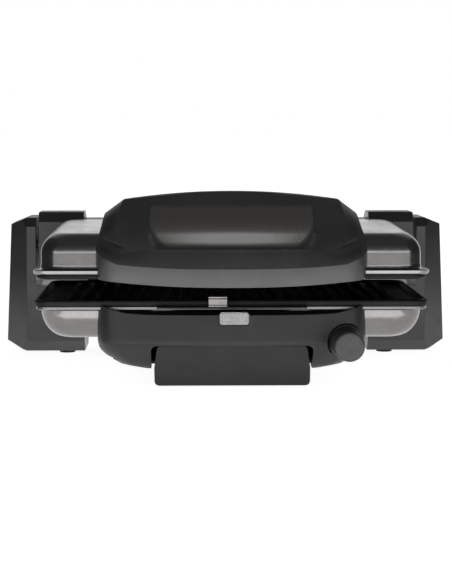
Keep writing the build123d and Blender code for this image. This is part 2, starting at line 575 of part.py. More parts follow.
# ---------------------------------------------------------------- write every piece
def pieces():
    """Every node's name and its solids."""
    tower_right, cover_right, floor_right = tower(), hinge_cover(), tower_floor()
    rail_right, block_right, arm_right = guide_rail(), slide_block(), hinge_arm()
    rear_pads = [(s * x, y) for s in (-1, 1) for x, y in ((140, 96), (140, 132), (172, 114))]
    under = [(s * 150, 114, TOWER_BOTTOM) for s in (-1, 1)]
    under += [(s * 76, y, PAN_BOTTOM) for s in (-1, 1) for y in (-60, 50)]
    return {
        "lower_shell": lower_shell(), "lower_grill_plate": lower_grill_plate(),
        "lower_heating_element": heating_element(51.5), "lower_reflector": reflector(42, 47, True),
        "lower_thermal_fuse": thermal_fuse(0, 0, 42.8, 49), "lower_plate_clip": plate_clip(),
        "lower_fascia": lower_fascia(), "indicator_lens": indicator_lens(), "indicator_lamps": indicator_lamps(),
        "thermostat": thermostat(), "base_pan": base_pan(), "rear_housing": rear_housing(),
        "rear_housing_cover": rear_housing_cover(), "cord_gland": cord_gland(), "terminal_block": terminal_block(),
        "tower_right": tower_right, "tower_left": mirrored(tower_right),
        "tower_floor_right": floor_right, "tower_floor_left": mirrored(floor_right),
        "guide_rail_right": rail_right, "guide_rail_left": mirrored(rail_right),
        "tower_feet": pads(rear_pads, 7), "front_feet": pads([(-LEG_X, LEG_Y), (LEG_X, LEG_Y)], LEG_R),
        "base_screws": screws(under),
        "hinge_shaft": tidy(rod("X", SHAFT_R, (HINGE_Y, HINGE_Z), -177, 177)),
        "shaft_rings": retaining_rings(),
        "slide_block_right": block_right, "slide_block_left": mirrored(block_right),
        "upper_shell": upper_shell(), "upper_grill_plate": upper_grill_plate(),
        "upper_heating_element": heating_element(95), "upper_reflector": reflector(100, 105, False),
        "upper_thermal_fuse": thermal_fuse(0, 0, 105, 110), "lid_hood": lid_hood(), "grip_liner": grip_liner(),
        "hinge_cover_right": cover_right, "hinge_cover_left": mirrored(cover_right),
        "hinge_arm_right": arm_right, "hinge_arm_left": mirrored(arm_right), "lid_rear_cover": lid_rear_cover(),
        "control_knob": control_knob(), "thermostat_spindle": thermostat_spindle(), "drip_tray": drip_tray(),
    }


os.makedirs("parts", exist_ok=True)
for name, shape in pieces().items():
    export_step(shape, f"parts/{name}.step")
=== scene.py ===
"""Looks of a panini press: ribbed plates in two metal casings, hinge towers, hood, knob and tray.

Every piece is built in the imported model's own frame: +X right, +Y back, +Z up, metres in the mesh.
Sizes in the classes are millimetres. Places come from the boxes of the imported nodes.
"""

import logging
import math
from dataclasses import dataclass, field
from enum import Enum
from typing import Callable, Optional, Sequence

import bmesh
import bpy
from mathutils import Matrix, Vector


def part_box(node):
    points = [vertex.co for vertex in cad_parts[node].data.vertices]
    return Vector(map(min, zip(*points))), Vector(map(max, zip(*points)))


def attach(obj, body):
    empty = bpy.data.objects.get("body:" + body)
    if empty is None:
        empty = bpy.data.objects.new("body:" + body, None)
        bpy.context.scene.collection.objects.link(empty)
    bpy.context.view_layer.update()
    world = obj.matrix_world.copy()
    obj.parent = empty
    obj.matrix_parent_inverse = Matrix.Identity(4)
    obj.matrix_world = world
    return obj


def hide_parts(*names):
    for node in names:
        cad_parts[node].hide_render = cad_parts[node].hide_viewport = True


MM = 0.001
Point2 = tuple[float, float]
Point3 = tuple[float, float, float]
Ring = list[Point3]
Box = tuple[Vector, Vector]
Thing = bpy.types.Object
Material = bpy.types.Material
Tree = bpy.types.NodeTree
Socket = bpy.types.NodeSocket
log = logging.getLogger("panini_press")

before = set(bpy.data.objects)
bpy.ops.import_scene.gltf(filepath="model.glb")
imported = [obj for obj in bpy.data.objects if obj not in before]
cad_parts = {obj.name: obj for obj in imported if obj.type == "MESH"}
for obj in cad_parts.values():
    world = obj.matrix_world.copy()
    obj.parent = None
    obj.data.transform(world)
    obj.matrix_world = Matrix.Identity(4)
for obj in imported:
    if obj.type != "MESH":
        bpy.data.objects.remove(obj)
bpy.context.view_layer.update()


# ---------- mesh building
def deselect() -> None:
    """Leaves nothing selected and no mode active."""
    if bpy.context.mode != "OBJECT":
        bpy.ops.object.mode_set(mode="OBJECT")
    bpy.ops.object.select_all(action="DESELECT")


def activate(piece: Thing) -> None:
    """Selects one piece alone and makes it the active one."""
    deselect()
    piece.select_set(True)
    bpy.context.view_layer.objects.active = piece


def node_box(node: str) -> Box:
    """A CAD node's lowest and highest corners, in millimetres.

    Args:
        node: the node's name.

    Returns:
        The two corners.
    """
    low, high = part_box(node)
    return Vector(low) / MM, Vector(high) / MM


def plan_box(front: float, side: float, rear: float) -> Box:
    """The corners of a box in plan that lies evenly about the middle plane."""
    return Vector((0, front, 0)), Vector((side, rear, 0))


def loft(name: str, rings: Sequence[Ring]) -> Thing:
    """A closed solid that passes through rings of equal point counts.

    Args:
        name: the piece's name.
        rings: closed outlines in millimetres, first to last.

    Returns:
        The solid.
    """
    deselect()
    count = len(rings[0])
    bpy.ops.mesh.primitive_circle_add(vertices=count, radius=MM, fill_type="NGON")
    piece = bpy.context.object
    piece.name = name
    piece.data.name = name
    bpy.ops.object.mode_set(mode="EDIT")
    mesh = bmesh.from_edit_mesh(piece.data)
    mesh.verts.ensure_lookup_table()
    for vertex, place in zip(mesh.verts, rings[0]):
        vertex.co = Vector(place) * MM
    bmesh.update_edit_mesh(piece.data)
    for before, after in zip(rings, rings[1:]):
        bpy.ops.mesh.extrude_region_move()
        mesh = bmesh.from_edit_mesh(piece.data)
        old = [Vector(place) * MM for place in before]
        for vertex in [v for v in mesh.verts if v.select]:
            index = min(range(count), key=lambda i: (vertex.co - old[i]).length_squared)
            vertex.co = Vector(after[index]) * MM
        bmesh.update_edit_mesh(piece.data)
    bpy.ops.mesh.select_all(action="SELECT")
    bpy.ops.mesh.normals_make_consistent(inside=False)
    bpy.ops.object.mode_set(mode="OBJECT")
    return piece


def along_x(outline: Sequence[Point2], x: float) -> Ring:
    """An outline of (y, z) points as a ring at one x."""
    return [(x, y, z) for y, z in outline]


def along_y(outline: Sequence[Point2], y: float) -> Ring:
    """An outline of (x, z) points as a ring at one y."""
    return [(x, y, z) for x, z in outline]


def along_z(outline: Sequence[Point2], z: float) -> Ring:
    """An outline of (x, y) points as a ring at one z."""
    return [(x, y, z) for x, y in outline]


def bar(name: str, outline: Sequence[Point2], near: float, far: float) -> Thing:
    """A straight bar along Y with an (x, z) outline, from one y to another."""
    return loft(name, [along_y(outline, near), along_y(outline, far)])


def curve(start: Vector, turn: Vector, end: Vector, steps: int) -> list[tuple]:
    """Points of a smooth turn from a start that is left out to an end.

    Args:
        start: where it starts.
        turn: the corner that it heads for and bends round.
        end: where it ends.
        steps: how many points.

    Returns:
        The points.
    """
    shares = [i / steps for i in range(1, steps + 1)]
    return [tuple(start * (1 - t) ** 2 + turn * 2 * t * (1 - t) + end * t ** 2) for t in shares]


def both_sides(right: Sequence[tuple]) -> list[tuple]:
    """The right-hand points with their mirror images, left end first, the middle one once."""
    return [(-point[0], *point[1:]) for point in right[:0:-1]] + list(right)


def rounded_box(half: Point2, centre: Point2, radius: float, steps: int = 8) -> list[Point2]:
    """The outline of a rectangle with round corners.

    Args:
        half: half width and half height.
        centre: its middle.
        radius: corner radius.
        steps: segments in each corner.

    Returns:
        The outline's points, counter-clockwise.
    """
    points = []
    radius = min(radius, half[0] - 0.01, half[1] - 0.01)
    for corner, (sx, sy) in enumerate(((1, 1), (-1, 1), (-1, -1), (1, -1))):
        for step in range(steps + 1):
            turn = math.radians(90 * corner + 90 * step / steps)
            x = centre[0] + sx * (half[0] - radius) + radius * math.cos(turn)
            y = centre[1] + sy * (half[1] - radius) + radius * math.sin(turn)
            points.append((x, y))
    return points


def lathe(name: str, centre: Point2, profile: Sequence[Point2], steps: int = 64) -> Thing:
    """A round piece turned about an axis along Y.

    Args:
        name: the piece's name.
        centre: the axis's x and z.
        profile: (y, radius) pairs from front to back.
        steps: points round the circle.

    Returns:
        The turned solid.
    """
    rings = []
    for y, radius in profile:
        turns = [2 * math.pi * i / steps for i in range(steps)]
        rings.append([(centre[0] + radius * math.cos(t), y, centre[1] + radius * math.sin(t)) for t in turns])
    return loft(name, rings)


def apply(piece: Thing, kind: str, **settings: object) -> None:
    """Adds one modifier with its settings and applies it.

    Args:
        piece: what it works on.
        kind: the modifier's type.
        settings: its properties.
    """
    activate(piece)
    modifier = piece.modifiers.new(kind.lower(), kind)
    for key, value in settings.items():
        setattr(modifier, key, value)
    bpy.ops.object.modifier_apply(modifier=modifier.name)


def carve(piece: Thing, *cutters: Thing) -> None:
    """Takes the cutters' volumes out of a piece and removes the cutters."""
    for cutter in cutters:
        apply(piece, "BOOLEAN", operation="DIFFERENCE", solver="EXACT", use_self=True, object=cutter)
        bpy.data.objects.remove(cutter, do_unlink=True)


def fuse(piece: Thing, *others: Thing) -> None:
    """Joins other solids to a piece as one closed surface."""
    for other in others:
        apply(piece, "BOOLEAN", operation="UNION", solver="EXACT", object=other)
        bpy.data.objects.remove(other, do_unlink=True)


def soften(piece: Thing, width: float, segments: int = 3, angle: float = 28.0) -> Thing:
    """Rounds the sharp edges and shades the rest smooth.

    Args:
        piece: the piece.
        width: the edge's radius in millimetres.
        segments: faces across each edge.
        angle: edges turning by more than this are rounded, in degrees.

    Returns:
        The same piece.
    """
    apply(piece, "WELD", merge_threshold=0.00001)
    apply(piece, "BEVEL", width=width * MM, segments=segments, limit_method="ANGLE",
          angle_limit=math.radians(angle), use_clamp_overlap=True, miter_outer="MITER_ARC")
    return finish_shading(piece)


def finish_shading(piece: Thing, angle: float = 32.0) -> Thing:
    """Shades a piece smooth up to an angle, with flat faces kept flat."""
    activate(piece)
    bpy.ops.object.shade_smooth_by_angle(angle=math.radians(angle), keep_sharp_edges=False)
    apply(piece, "WEIGHTED_NORMAL", keep_sharp=True, weight=80)
    return piece


def copy_of_node(node: str, name: str) -> Thing:
    """A merged copy of a CAD node's mesh with its flat faces in one piece each.

    Args:
        node: the CAD node.
        name: the new piece's name.

    Returns:
        The copy.
    """
    deselect()
    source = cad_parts[node]
    piece = bpy.data.objects.new(name, source.data.copy())
    piece.data.name = name
    piece.data.materials.clear()
    bpy.context.collection.objects.link(piece)
    activate(piece)
    bpy.ops.object.mode_set(mode="EDIT")
    bpy.ops.mesh.select_all(action="SELECT")
    bpy.ops.mesh.remove_doubles(threshold=0.000004)
    bpy.ops.mesh.customdata_custom_splitnormals_clear()
    bpy.ops.mesh.mark_sharp(clear=True)
    bpy.ops.mesh.dissolve_limited(angle_limit=math.radians(0.6))
    bpy.ops.object.mode_set(mode="OBJECT")
    return piece


# ---------- finishes
class Pattern(Enum):
    """The kinds of fine surface that the finishes draw."""

    SPARK = "spark-eroded grain of a mould"
    PEEL = "orange peel of sprayed paint"
    SPECKLE = "sprayed non-stick flecks"
    DRAWN = "long marks of rolled or drawn metal"
    CAST = "shallow pitting of cast or pressed parts"


def linear(colour: str) -> tuple[float, float, float, float]:
    """A linear colour from an sRGB hex value.

    Args:
        colour: six hex digits with a leading hash.

    Returns:
        Red, green, blue and alpha.
    """
    values = [int(colour[i:i + 2], 16) / 255 for i in (1, 3, 5)]
    made = [v / 12.92 if v <= 0.04045 else ((v + 0.055) / 1.055) ** 2.4 for v in values]
    return made[0], made[1], made[2], 1.0


def add_node(tree: Tree, kind: str, settings: Optional[dict] = None,
             links: Optional[dict] = None) -> bpy.types.Node:
    """Adds a node, sets its properties and sockets, and links its inputs.

    Args:
        tree: the node tree.
        kind: the node's type.
        settings: property or input name to value.
        links: input name or number to the output that feeds it.

    Returns:
        The node.
    """
    node = tree.nodes.new(kind)
    for key, value in (settings or {}).items():
        if isinstance(key, str) and hasattr(node, key):
            setattr(node, key, value)
        else:
            node.inputs[key].default_value = value
    for key, source in (links or {}).items():
        tree.links.new(source, node.inputs[key])
    return node


def noise(tree: Tree, place: Socket, size_mm: float, detail: float,
          **more: float) -> Socket:
    """Noise with features of a real size.

    Args:
        tree: the node tree.
        place: the coordinates it is drawn on, in metres.
        size_mm: the size of its features.
        detail: finer layers added.
        more: other inputs of the texture.

    Returns:
        The noise's value.
    """
    settings = {"Scale": 1.0 / (size_mm * MM), "Detail": detail, **more}
    return add_node(tree, "ShaderNodeTexNoise", settings, {"Vector": place}).outputs["Fac"]


def ranged(tree: Tree, value: Socket, **ends: float) -> Socket:
    """A value carried from one range to another, its ends named From_Min and so on."""
    settings = {key.replace("_", " "): end for key, end in ends.items()}
    return add_node(tree, "ShaderNodeMapRange", settings, {"Value": value}).outputs[0]


def blend(tree: Tree, share: Socket, *colours: object) -> Socket:
    """A mix of two colours, each a constant or another node's output.

    Args:
        tree: the node tree.
        share: how much of the second shows.
        colours: the two colours.

    Returns:
        The mixed colour.
    """
    mix = add_node(tree, "ShaderNodeMix", {"data_type": "RGBA"}, {0: share})
    for slot, colour in zip((6, 7), colours):
        if isinstance(colour, Socket):
            tree.links.new(colour, mix.inputs[slot])
        else:
            mix.inputs[slot].default_value = colour
    return mix.outputs[2]


def made_once(name: str, shade: Callable[[Tree, Socket], bpy.types.Node]
              ) -> Material:
    """The material of a name, shaded when it is first asked for.

    Args:
        name: the material's name.
        shade: adds its shader, from the node tree and the object coordinates.

    Returns:
        The material.
    """
    made = bpy.data.materials.get(name)
    if not made:
        made = bpy.data.materials.new(name)
        made.use_nodes = True
        tree = made.node_tree
        tree.nodes.clear()
        shader = shade(tree, add_node(tree, "ShaderNodeTexCoord").outputs["Object"])
        add_node(tree, "ShaderNodeOutputMaterial", None, {"Surface": shader.outputs["BSDF"]})
    return made


@dataclass(frozen=True)
class Finish:
    """One finish: a base colour, its unevenness, a fine pattern and worn edges."""

    name: str
    colour: str
    second: str
    roughness: float
    pattern: Pattern
    pattern_mm: float
    depth_mm: float
    metallic: float = 0.0
    spread: float = 0.08
    wear: str = ""
    coat: float = 0.0
    specular: float = 0.5

    def material(self) -> Material:
        """The finish's material."""
        return made_once(self.name, self.shader)

    def shader(self, tree: Tree, place: Socket) -> bpy.types.Node:
        """The finish's shader.

        Args:
            tree: the material's nodes.
            place: object coordinates.

        Returns:
            The shader node.
        """
        sockets = {"Metallic": self.metallic, "Coat Weight": self.coat, "Coat Roughness": 0.2,
                   "Specular IOR Level": self.specular}
        return add_node(tree, "ShaderNodeBsdfPrincipled", sockets, {
            "Base Color": self.uneven_colour(tree, place), "Roughness": self.uneven_roughness(tree, place),
            "Normal": self.surface(tree, place)})

    def uneven_colour(self, tree: Tree, place: Socket) -> Socket:
        """Colour that drifts between the two shades, lighter along worn edges.

        Args:
            tree: the material's nodes.
            place: object coordinates.

        Returns:
            The colour's output.
        """
        broad = noise(tree, place, 34.0, 5.0, Roughness=0.6)
        fine = noise(tree, place, self.pattern_mm * 1.6, 2.0)
        part = add_node(tree, "ShaderNodeMath", {"operation": "MULTIPLY", 1: 0.45}, {0: fine})
        both = add_node(tree, "ShaderNodeMath", {"operation": "MULTIPLY_ADD", 1: 0.55},
                        {0: broad, 2: part.outputs[0]})
        drift = ranged(tree, both.outputs[0], From_Min=0.38, From_Max=0.62)
        colour = blend(tree, drift, linear(self.colour), linear(self.second))
        if not self.wear:
            return colour
        edge = add_node(tree, "ShaderNodeNewGeometry").outputs["Pointiness"]
        worn = ranged(tree, edge, From_Min=0.53, From_Max=0.62, To_Max=0.5)
        broken = add_node(tree, "ShaderNodeMath", {"operation": "MULTIPLY"}, {0: worn, 1: broad})
        return blend(tree, broken.outputs[0], colour, linear(self.wear))

    def uneven_roughness(self, tree: Tree, place: Socket) -> Socket:
        """Roughness that varies as handled and wiped surfaces do.

        Args:
            tree: the material's nodes.
            place: object coordinates.

        Returns:
            The roughness output.
        """
        stretch = add_node(tree, "ShaderNodeMapping", {"Scale": (1.0, 0.45, 1.6)}, {"Vector": place})
        smear = noise(tree, stretch.outputs[0], 22.0, 7.0, Roughness=0.68)
        return ranged(tree, smear, From_Min=0.3, From_Max=0.7, To_Min=self.roughness - self.spread,
                      To_Max=self.roughness + self.spread)

    def surface(self, tree: Tree, place: Socket) -> Socket:
        """The fine relief of the finish's pattern.

        Args:
            tree: the material's nodes.
            place: object coordinates.

        Returns:
            The normal's output.
        """
        if self.pattern is Pattern.DRAWN:
            along = add_node(tree, "ShaderNodeMapping", {"Scale": (0.06, 1.0, 1.0)}, {"Vector": place})
            height = noise(tree, along.outputs[0], self.pattern_mm, 3.0)
        elif self.pattern in (Pattern.SPECKLE, Pattern.CAST):
            settings = {"Scale": 1.0 / (self.pattern_mm * MM), "feature": "SMOOTH_F1"}
            cells = add_node(tree, "ShaderNodeTexVoronoi", settings, {"Vector": place})
            height = cells.outputs["Distance"]
        else:
            detail = 4.0 if self.pattern is Pattern.SPARK else 1.0
            height = noise(tree, place, self.pattern_mm, detail, Roughness=0.7)
        relief = {"Strength": 0.6, "Distance": self.depth_mm * MM}
        return add_node(tree, "ShaderNodeBump", relief, {"Height": height}).outputs[0]


@dataclass(frozen=True)
class ClearFinish:
    """A clear or tinted moulded plastic or glass."""

    name: str
    colour: str
    roughness: float
    transmission: float
    ior: float
    ripple_mm: float = 10 / 9

    def material(self) -> Material:
        """The clear material."""
        return made_once(self.name, self.shader)

    def shader(self, tree: Tree, place: Socket) -> bpy.types.Node:
        """A slightly rippled, see-through shader.

        Args:
            tree: the material's nodes.
            place: object coordinates.

        Returns:
            The shader node.
        """
        ripple = noise(tree, place, self.ripple_mm, 2.0)
        bump = add_node(tree, "ShaderNodeBump", {"Strength": 0.35, "Distance": 0.2 * MM}, {"Height": ripple})
        rough = ranged(tree, ripple, To_Min=self.roughness * 0.6, To_Max=self.roughness * 1.4)
        bright = linear(self.colour)
        tint = blend(tree, ripple, bright, tuple(0.9 * v for v in bright[:3]) + (1.0,))
        return add_node(tree, "ShaderNodeBsdfPrincipled",
                        {"Transmission Weight": self.transmission, "IOR": self.ior},
                        {"Base Color": tint, "Roughness": rough, "Normal": bump.outputs[0]})


# Injection-moulded glass-filled nylon, graphite grey: dull, finely grained, its edges polished paler.
GRAPHITE = Finish("moulded_graphite_nylon", "#1c1c1c", "#222222", 0.36, Pattern.SPARK, 0.9, 0.03,
                  wear="#454545", specular=0.7)
# The pocket's own liner, a smoother moulding with a soft sheen that hands have polished; its grey is painted
# lighter and warmer than the hood's, painted light for the brightness that the pocket's wall reflects.
POCKET_LINER_PAINTED_LIGHT = Finish("pocket_liner_painted_light", "#373533", "#3b3936", 0.25, Pattern.SPARK, 0.7, 0.003,
               spread=0.04, coat=0.8, specular=1.0)
# Painted highlight: a pale aluminium colour along the pouring edge that stands in for the bright highlight line
# on the coated lip.
SPOUT_EDGE_PAINTED_HIGHLIGHT = Finish("spout_edge_painted_highlight", "#8b8a88", "#6f6e6c", 0.35, Pattern.DRAWN, 0.6, 0.01,
                   metallic=1.0)
# The base's heat-resistant moulding: the same grey, drier, and a shade darker as painted shade against the
# extra light that the glowing floor throws on the base's front.
GRAPHITE_BASE_PAINTED_SHADE = Finish("graphite_base_painted_shade", "#171717", "#1d1d1d", 0.42, Pattern.SPARK, 0.9, 0.03,
                       wear="#383838", specular=0.42)
# The same moulding on the hidden underside: duller and a shade darker.
UNDERBODY = Finish("moulded_black_polypropylene", "#1b1b1c", "#222223", 0.55, Pattern.SPARK, 1.1, 0.06)
# The tray's front, a touch darker than the fascia: painted shade against the floor's light on it.
TRAY_PAINTED_SHADE = Finish("tray_nylon_painted_shade", "#151515", "#1a1a1a", 0.46, Pattern.SPARK, 0.9, 0.03,
                     wear="#303030", specular=0.4)
# Knob in the same nylon with a finer grain, polished by fingers.
KNOB = Finish("moulded_knob_nylon", "#2c2c2d", "#333334", 0.36, Pattern.SPARK, 0.7, 0.03, wear="#565657")
# Deep-drawn steel sprayed with gunmetal enamel: satin, metallic, a faint orange peel.
GUNMETAL = Finish("gunmetal_enamel_steel", "#7a7978", "#828180", 0.2, Pattern.PEEL, 2.2, 0.008,
                  metallic=1.0, spread=0.04, wear="#b4b4b4")
# Cast aluminium sprayed with non-stick coating: black, slightly glossy, with tiny flecks.
NONSTICK = Finish("non_stick_cast_aluminium", "#080808", "#101010", 0.5, Pattern.SPECKLE, 1.2, 0.03,
                  wear="#1c1c1c", specular=0.25)
# Stainless spring strip: bright, drawn lengthwise.
STAINLESS = Finish("stainless_spring_strip", "#969493", "#858382", 0.26, Pattern.DRAWN, 0.6, 0.02,
                   metallic=1.0, spread=0.07)
# Zinc-plated pressed steel: greyish with a faint spangle.
ZINC = Finish("zinc_plated_steel", "#8d9196", "#7c8085", 0.36, Pattern.CAST, 2.6, 0.02, metallic=1.0)
# Heater sheath: nickel alloy tube, blued and dull from heat.
SHEATH = Finish("heater_sheath_alloy", "#4f4a45", "#3f3b3a", 0.45, Pattern.DRAWN, 0.8, 0.02, metallic=0.9)
# Ground steel shaft, lightly oiled.
SHAFT = Finish("ground_steel", "#a3a5a7", "#95979a", 0.2, Pattern.DRAWN, 0.5, 0.01, metallic=1.0)
# Rubber pads: dull black, dusty.
RUBBER = Finish("pressed_rubber", "#141414", "#1f1f1f", 0.78, Pattern.CAST, 0.8, 0.05)
# Natural nylon bearing block: off-white, waxy.
NYLON = Finish("natural_nylon", "#c9c4b4", "#bdb7a6", 0.4, Pattern.SPARK, 1.0, 0.02)
# Steatite ceramic terminals: chalky white.
STEATITE = Finish("steatite_ceramic", "#d8d4c8", "#cbc5b8", 0.6, Pattern.CAST, 0.9, 0.04)
# Phenolic thermostat body: brown, slightly mottled.
PHENOLIC = Finish("phenolic_moulding", "#3d2b1e", "#4a3424", 0.42, Pattern.SPARK, 0.8, 0.03)
# Acrylic indicator lens and neon bulb glass.
ACRYLIC = ClearFinish("clear_acrylic_lens", "#f2f4f2", 0.1, 0.75, 1.49)
NEON = ClearFinish("neon_bulb_glass", "#ffd9b8", 0.05, 0.8, 1.5)


def dress(piece: Thing, finish: Finish | ClearFinish, body: str, slot: str, *nodes: str) -> Thing:
    """Gives a piece its finish and its body, and hides the CAD nodes that it stands for.

    Args:
        piece: the finished mesh.
        finish: what it is made of.
        body: the body that it rides on.
        slot: a material slot's name, not used.
        nodes: CAD nodes that it replaces.

    Returns:
        The same piece.
    """
    piece.data.materials.clear()
    piece.data.materials.append(finish.material())
    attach(piece, body)
    if nodes:
        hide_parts(*nodes)
    log.info("%s on %s: %s, %d faces", piece.name, body, finish.name, len(piece.data.polygons))
    return piece


def second_finish(piece: Thing, finish: Finish, chosen: Callable[[float, float, float], bool]) -> None:
    """Gives another finish to the faces whose middles are chosen.

    Args:
        piece: the piece.
        finish: the second finish.
        chosen: tells from x, y and z in millimetres.
    """
    piece.data.materials.append(finish.material())
    for face in piece.data.polygons:
        if chosen(*(v / MM for v in face.center)):
            face.material_index = 1


# ---------- casings
@dataclass
class Casing:
    """A deep-drawn casing: crowned panel, rolled edge and flange. Shared by the base and the lid."""

    corner: float = 19.0
    flange_corner: float = 10.0
    wall: float = 1.2
    steps: int = 10

    def ring(self, box: Box, inset: float, z: float | Callable[[float], float], corner: float) -> Ring:
        """A rounded outline inside a node's box.

        Args:
            box: the node's corners.
            inset: how far inside.
            z: height, or height as a function of y.
            corner: corner radius before the inset.

        Returns:
            The ring.
        """
        low, high = box
        half = (high.x - inset, (high.y - low.y) / 2 - inset)
        radius = max(corner - max(inset - 5, 0) * 0.5, 6)
        flat = rounded_box(half, (0, (low.y + high.y) / 2), radius, self.steps)
        return [(x, y, z(y) if callable(z) else z) for x, y in flat]


@dataclass
class LidCasing(Casing):
    """The lid's casing, sloping up a little to the back."""

    node: str = "upper_shell"
    flange: float = 5.0
    flange_height: float = 4.9
    edge: float = 15.5
    edge_steps: int = 12
    crown: float = 0.5

    def build(self) -> Thing:
        """The outer skin with a rolled flange, and the cavity under it."""
        low, high = box = node_box(self.node)
        slope = 4.0 / (high.y - low.y)
        base = low.z + self.flange_height

        def height(share: float) -> Callable[[float], float]:
            """Height at a share of the casing's rise, on the slope."""
            rise = high.z - 4.0 - base
            return lambda y: base + share * (rise + slope * (y - low.y))

        rim = ((1.2, low.z + 0.3, 0), (0.2, low.z + 1.3, 0), (0.0, low.z + 3.4, 0), (0.7, low.z + 4.1, 0),
               (2.6, low.z + 4.3, 2))
        root = ((0.9, base - 0.4, 1), (0.35, base + 0.3, 0), (0.15, base + 1.9, 0))
        rings = [self.ring(box, inset, z, self.flange_corner + more) for inset, z, more in rim]
        rings += [self.ring(box, self.flange - out, z, self.corner - less) for out, z, less in root]
        rise = high.z - 4.0 - base
        rings.append(self.ring(box, self.flange, height(0.11), self.corner))
        for step in range(self.edge_steps + 1):
            turn = math.radians(90 * step / self.edge_steps)
            inset = self.flange + self.edge * (1 - math.cos(turn))
            share = 1 - self.crown / rise - self.edge * (1 - math.sin(turn)) / rise
            rings.append(self.ring(box, inset, height(share), self.corner))
        for inset, crown in ((14, 0.4 * self.crown), (34, 0.0)):
            rings.append(self.ring(box, self.flange + self.edge + inset, height(1 - crown / rise), self.corner))
        piece = loft(self.node + "_skin", rings)
        under = [self.ring(box, 1.6, z, self.flange_corner) for z in (low.z - 1, low.z + 2.6)]
        inner = [self.ring(box, self.flange + self.wall, low.z + 2.2, self.corner)]
        for step in range(self.edge_steps // 2 + 1):
            turn = math.radians(180 * step / self.edge_steps)
            inset = self.flange + self.wall + self.edge * (1 - math.cos(turn))
            share = 1 - (self.crown + self.wall + self.edge * (1 - math.sin(turn))) / rise
            inner.append(self.ring(box, inset, height(share), self.corner))
        carve(piece, loft("flange_well", under), loft("casing_hollow", inner))
        for side in (-1, 1):
            low_arm, high_arm = node_box("hinge_arm_right")
            slot = rounded_box((2.6, 6.2), (side * (low_arm.x + high_arm.x) / 2, 97.0), 1.0, 3)
            carve(piece, bar("arm_slot", slot, high.y - 26, high.y + 4))
        finish_shading(piece, 50)
        return dress(piece, GUNMETAL, "lid", "gunmetal", self.node)


@dataclass
class BaseCasing(Casing):
    """The base's casing: a shallow bowl with a wide rounded edge."""

    node: str = "lower_shell"
    edge: float = 19.0
    lip: float = 3.0

    def build(self) -> Thing:
        """The bowl with its flange, hollow, and cut out for the thermostat."""
        low, high = box = node_box(self.node)
        top = high.z - 2.4
        depth = top - low.z
        rim = ((0.0, high.z), (0.0, high.z - 1.8), (0.7, high.z - 2.3))
        rings = [self.ring(box, inset, z, self.flange_corner) for inset, z in rim]
        rings.append(self.ring(box, self.lip - 0.5, top - 0.1, self.corner - 2))
        for step in range(0, 11):
            turn = math.radians(2 + 88 * step / 10)
            inset = self.lip + self.edge * (1 - math.cos(turn)) * 0.98
            rings.append(self.ring(box, inset, top - depth * math.sin(turn), self.corner))
        piece = loft(self.node + "_skin", rings)
        inner = [self.ring(box, self.lip + self.wall, high.z + 1, self.corner)]
        for step in range(0, 9):
            turn = math.radians(3 + 85 * step / 8)
            inset = self.lip + self.wall + self.edge * (1 - math.cos(turn)) * 0.96
            inner.append(self.ring(box, inset, top - (depth - self.wall) * math.sin(turn), self.corner))
        carve(piece, loft("bowl_hollow", inner))
        low_t, high_t = node_box("thermostat")
        notch = rounded_box(((high_t.x - low_t.x) / 2 + 4, (high_t.z - low_t.z) / 2 + 3),
                            ((low_t.x + high_t.x) / 2, (low_t.z + high_t.z) / 2), 2, 4)
        carve(piece, bar("thermostat_notch", notch, low.y - 2, high_t.y + 3))
        finish_shading(piece, 50)
        return dress(piece, GUNMETAL, "base", "gunmetal", self.node)


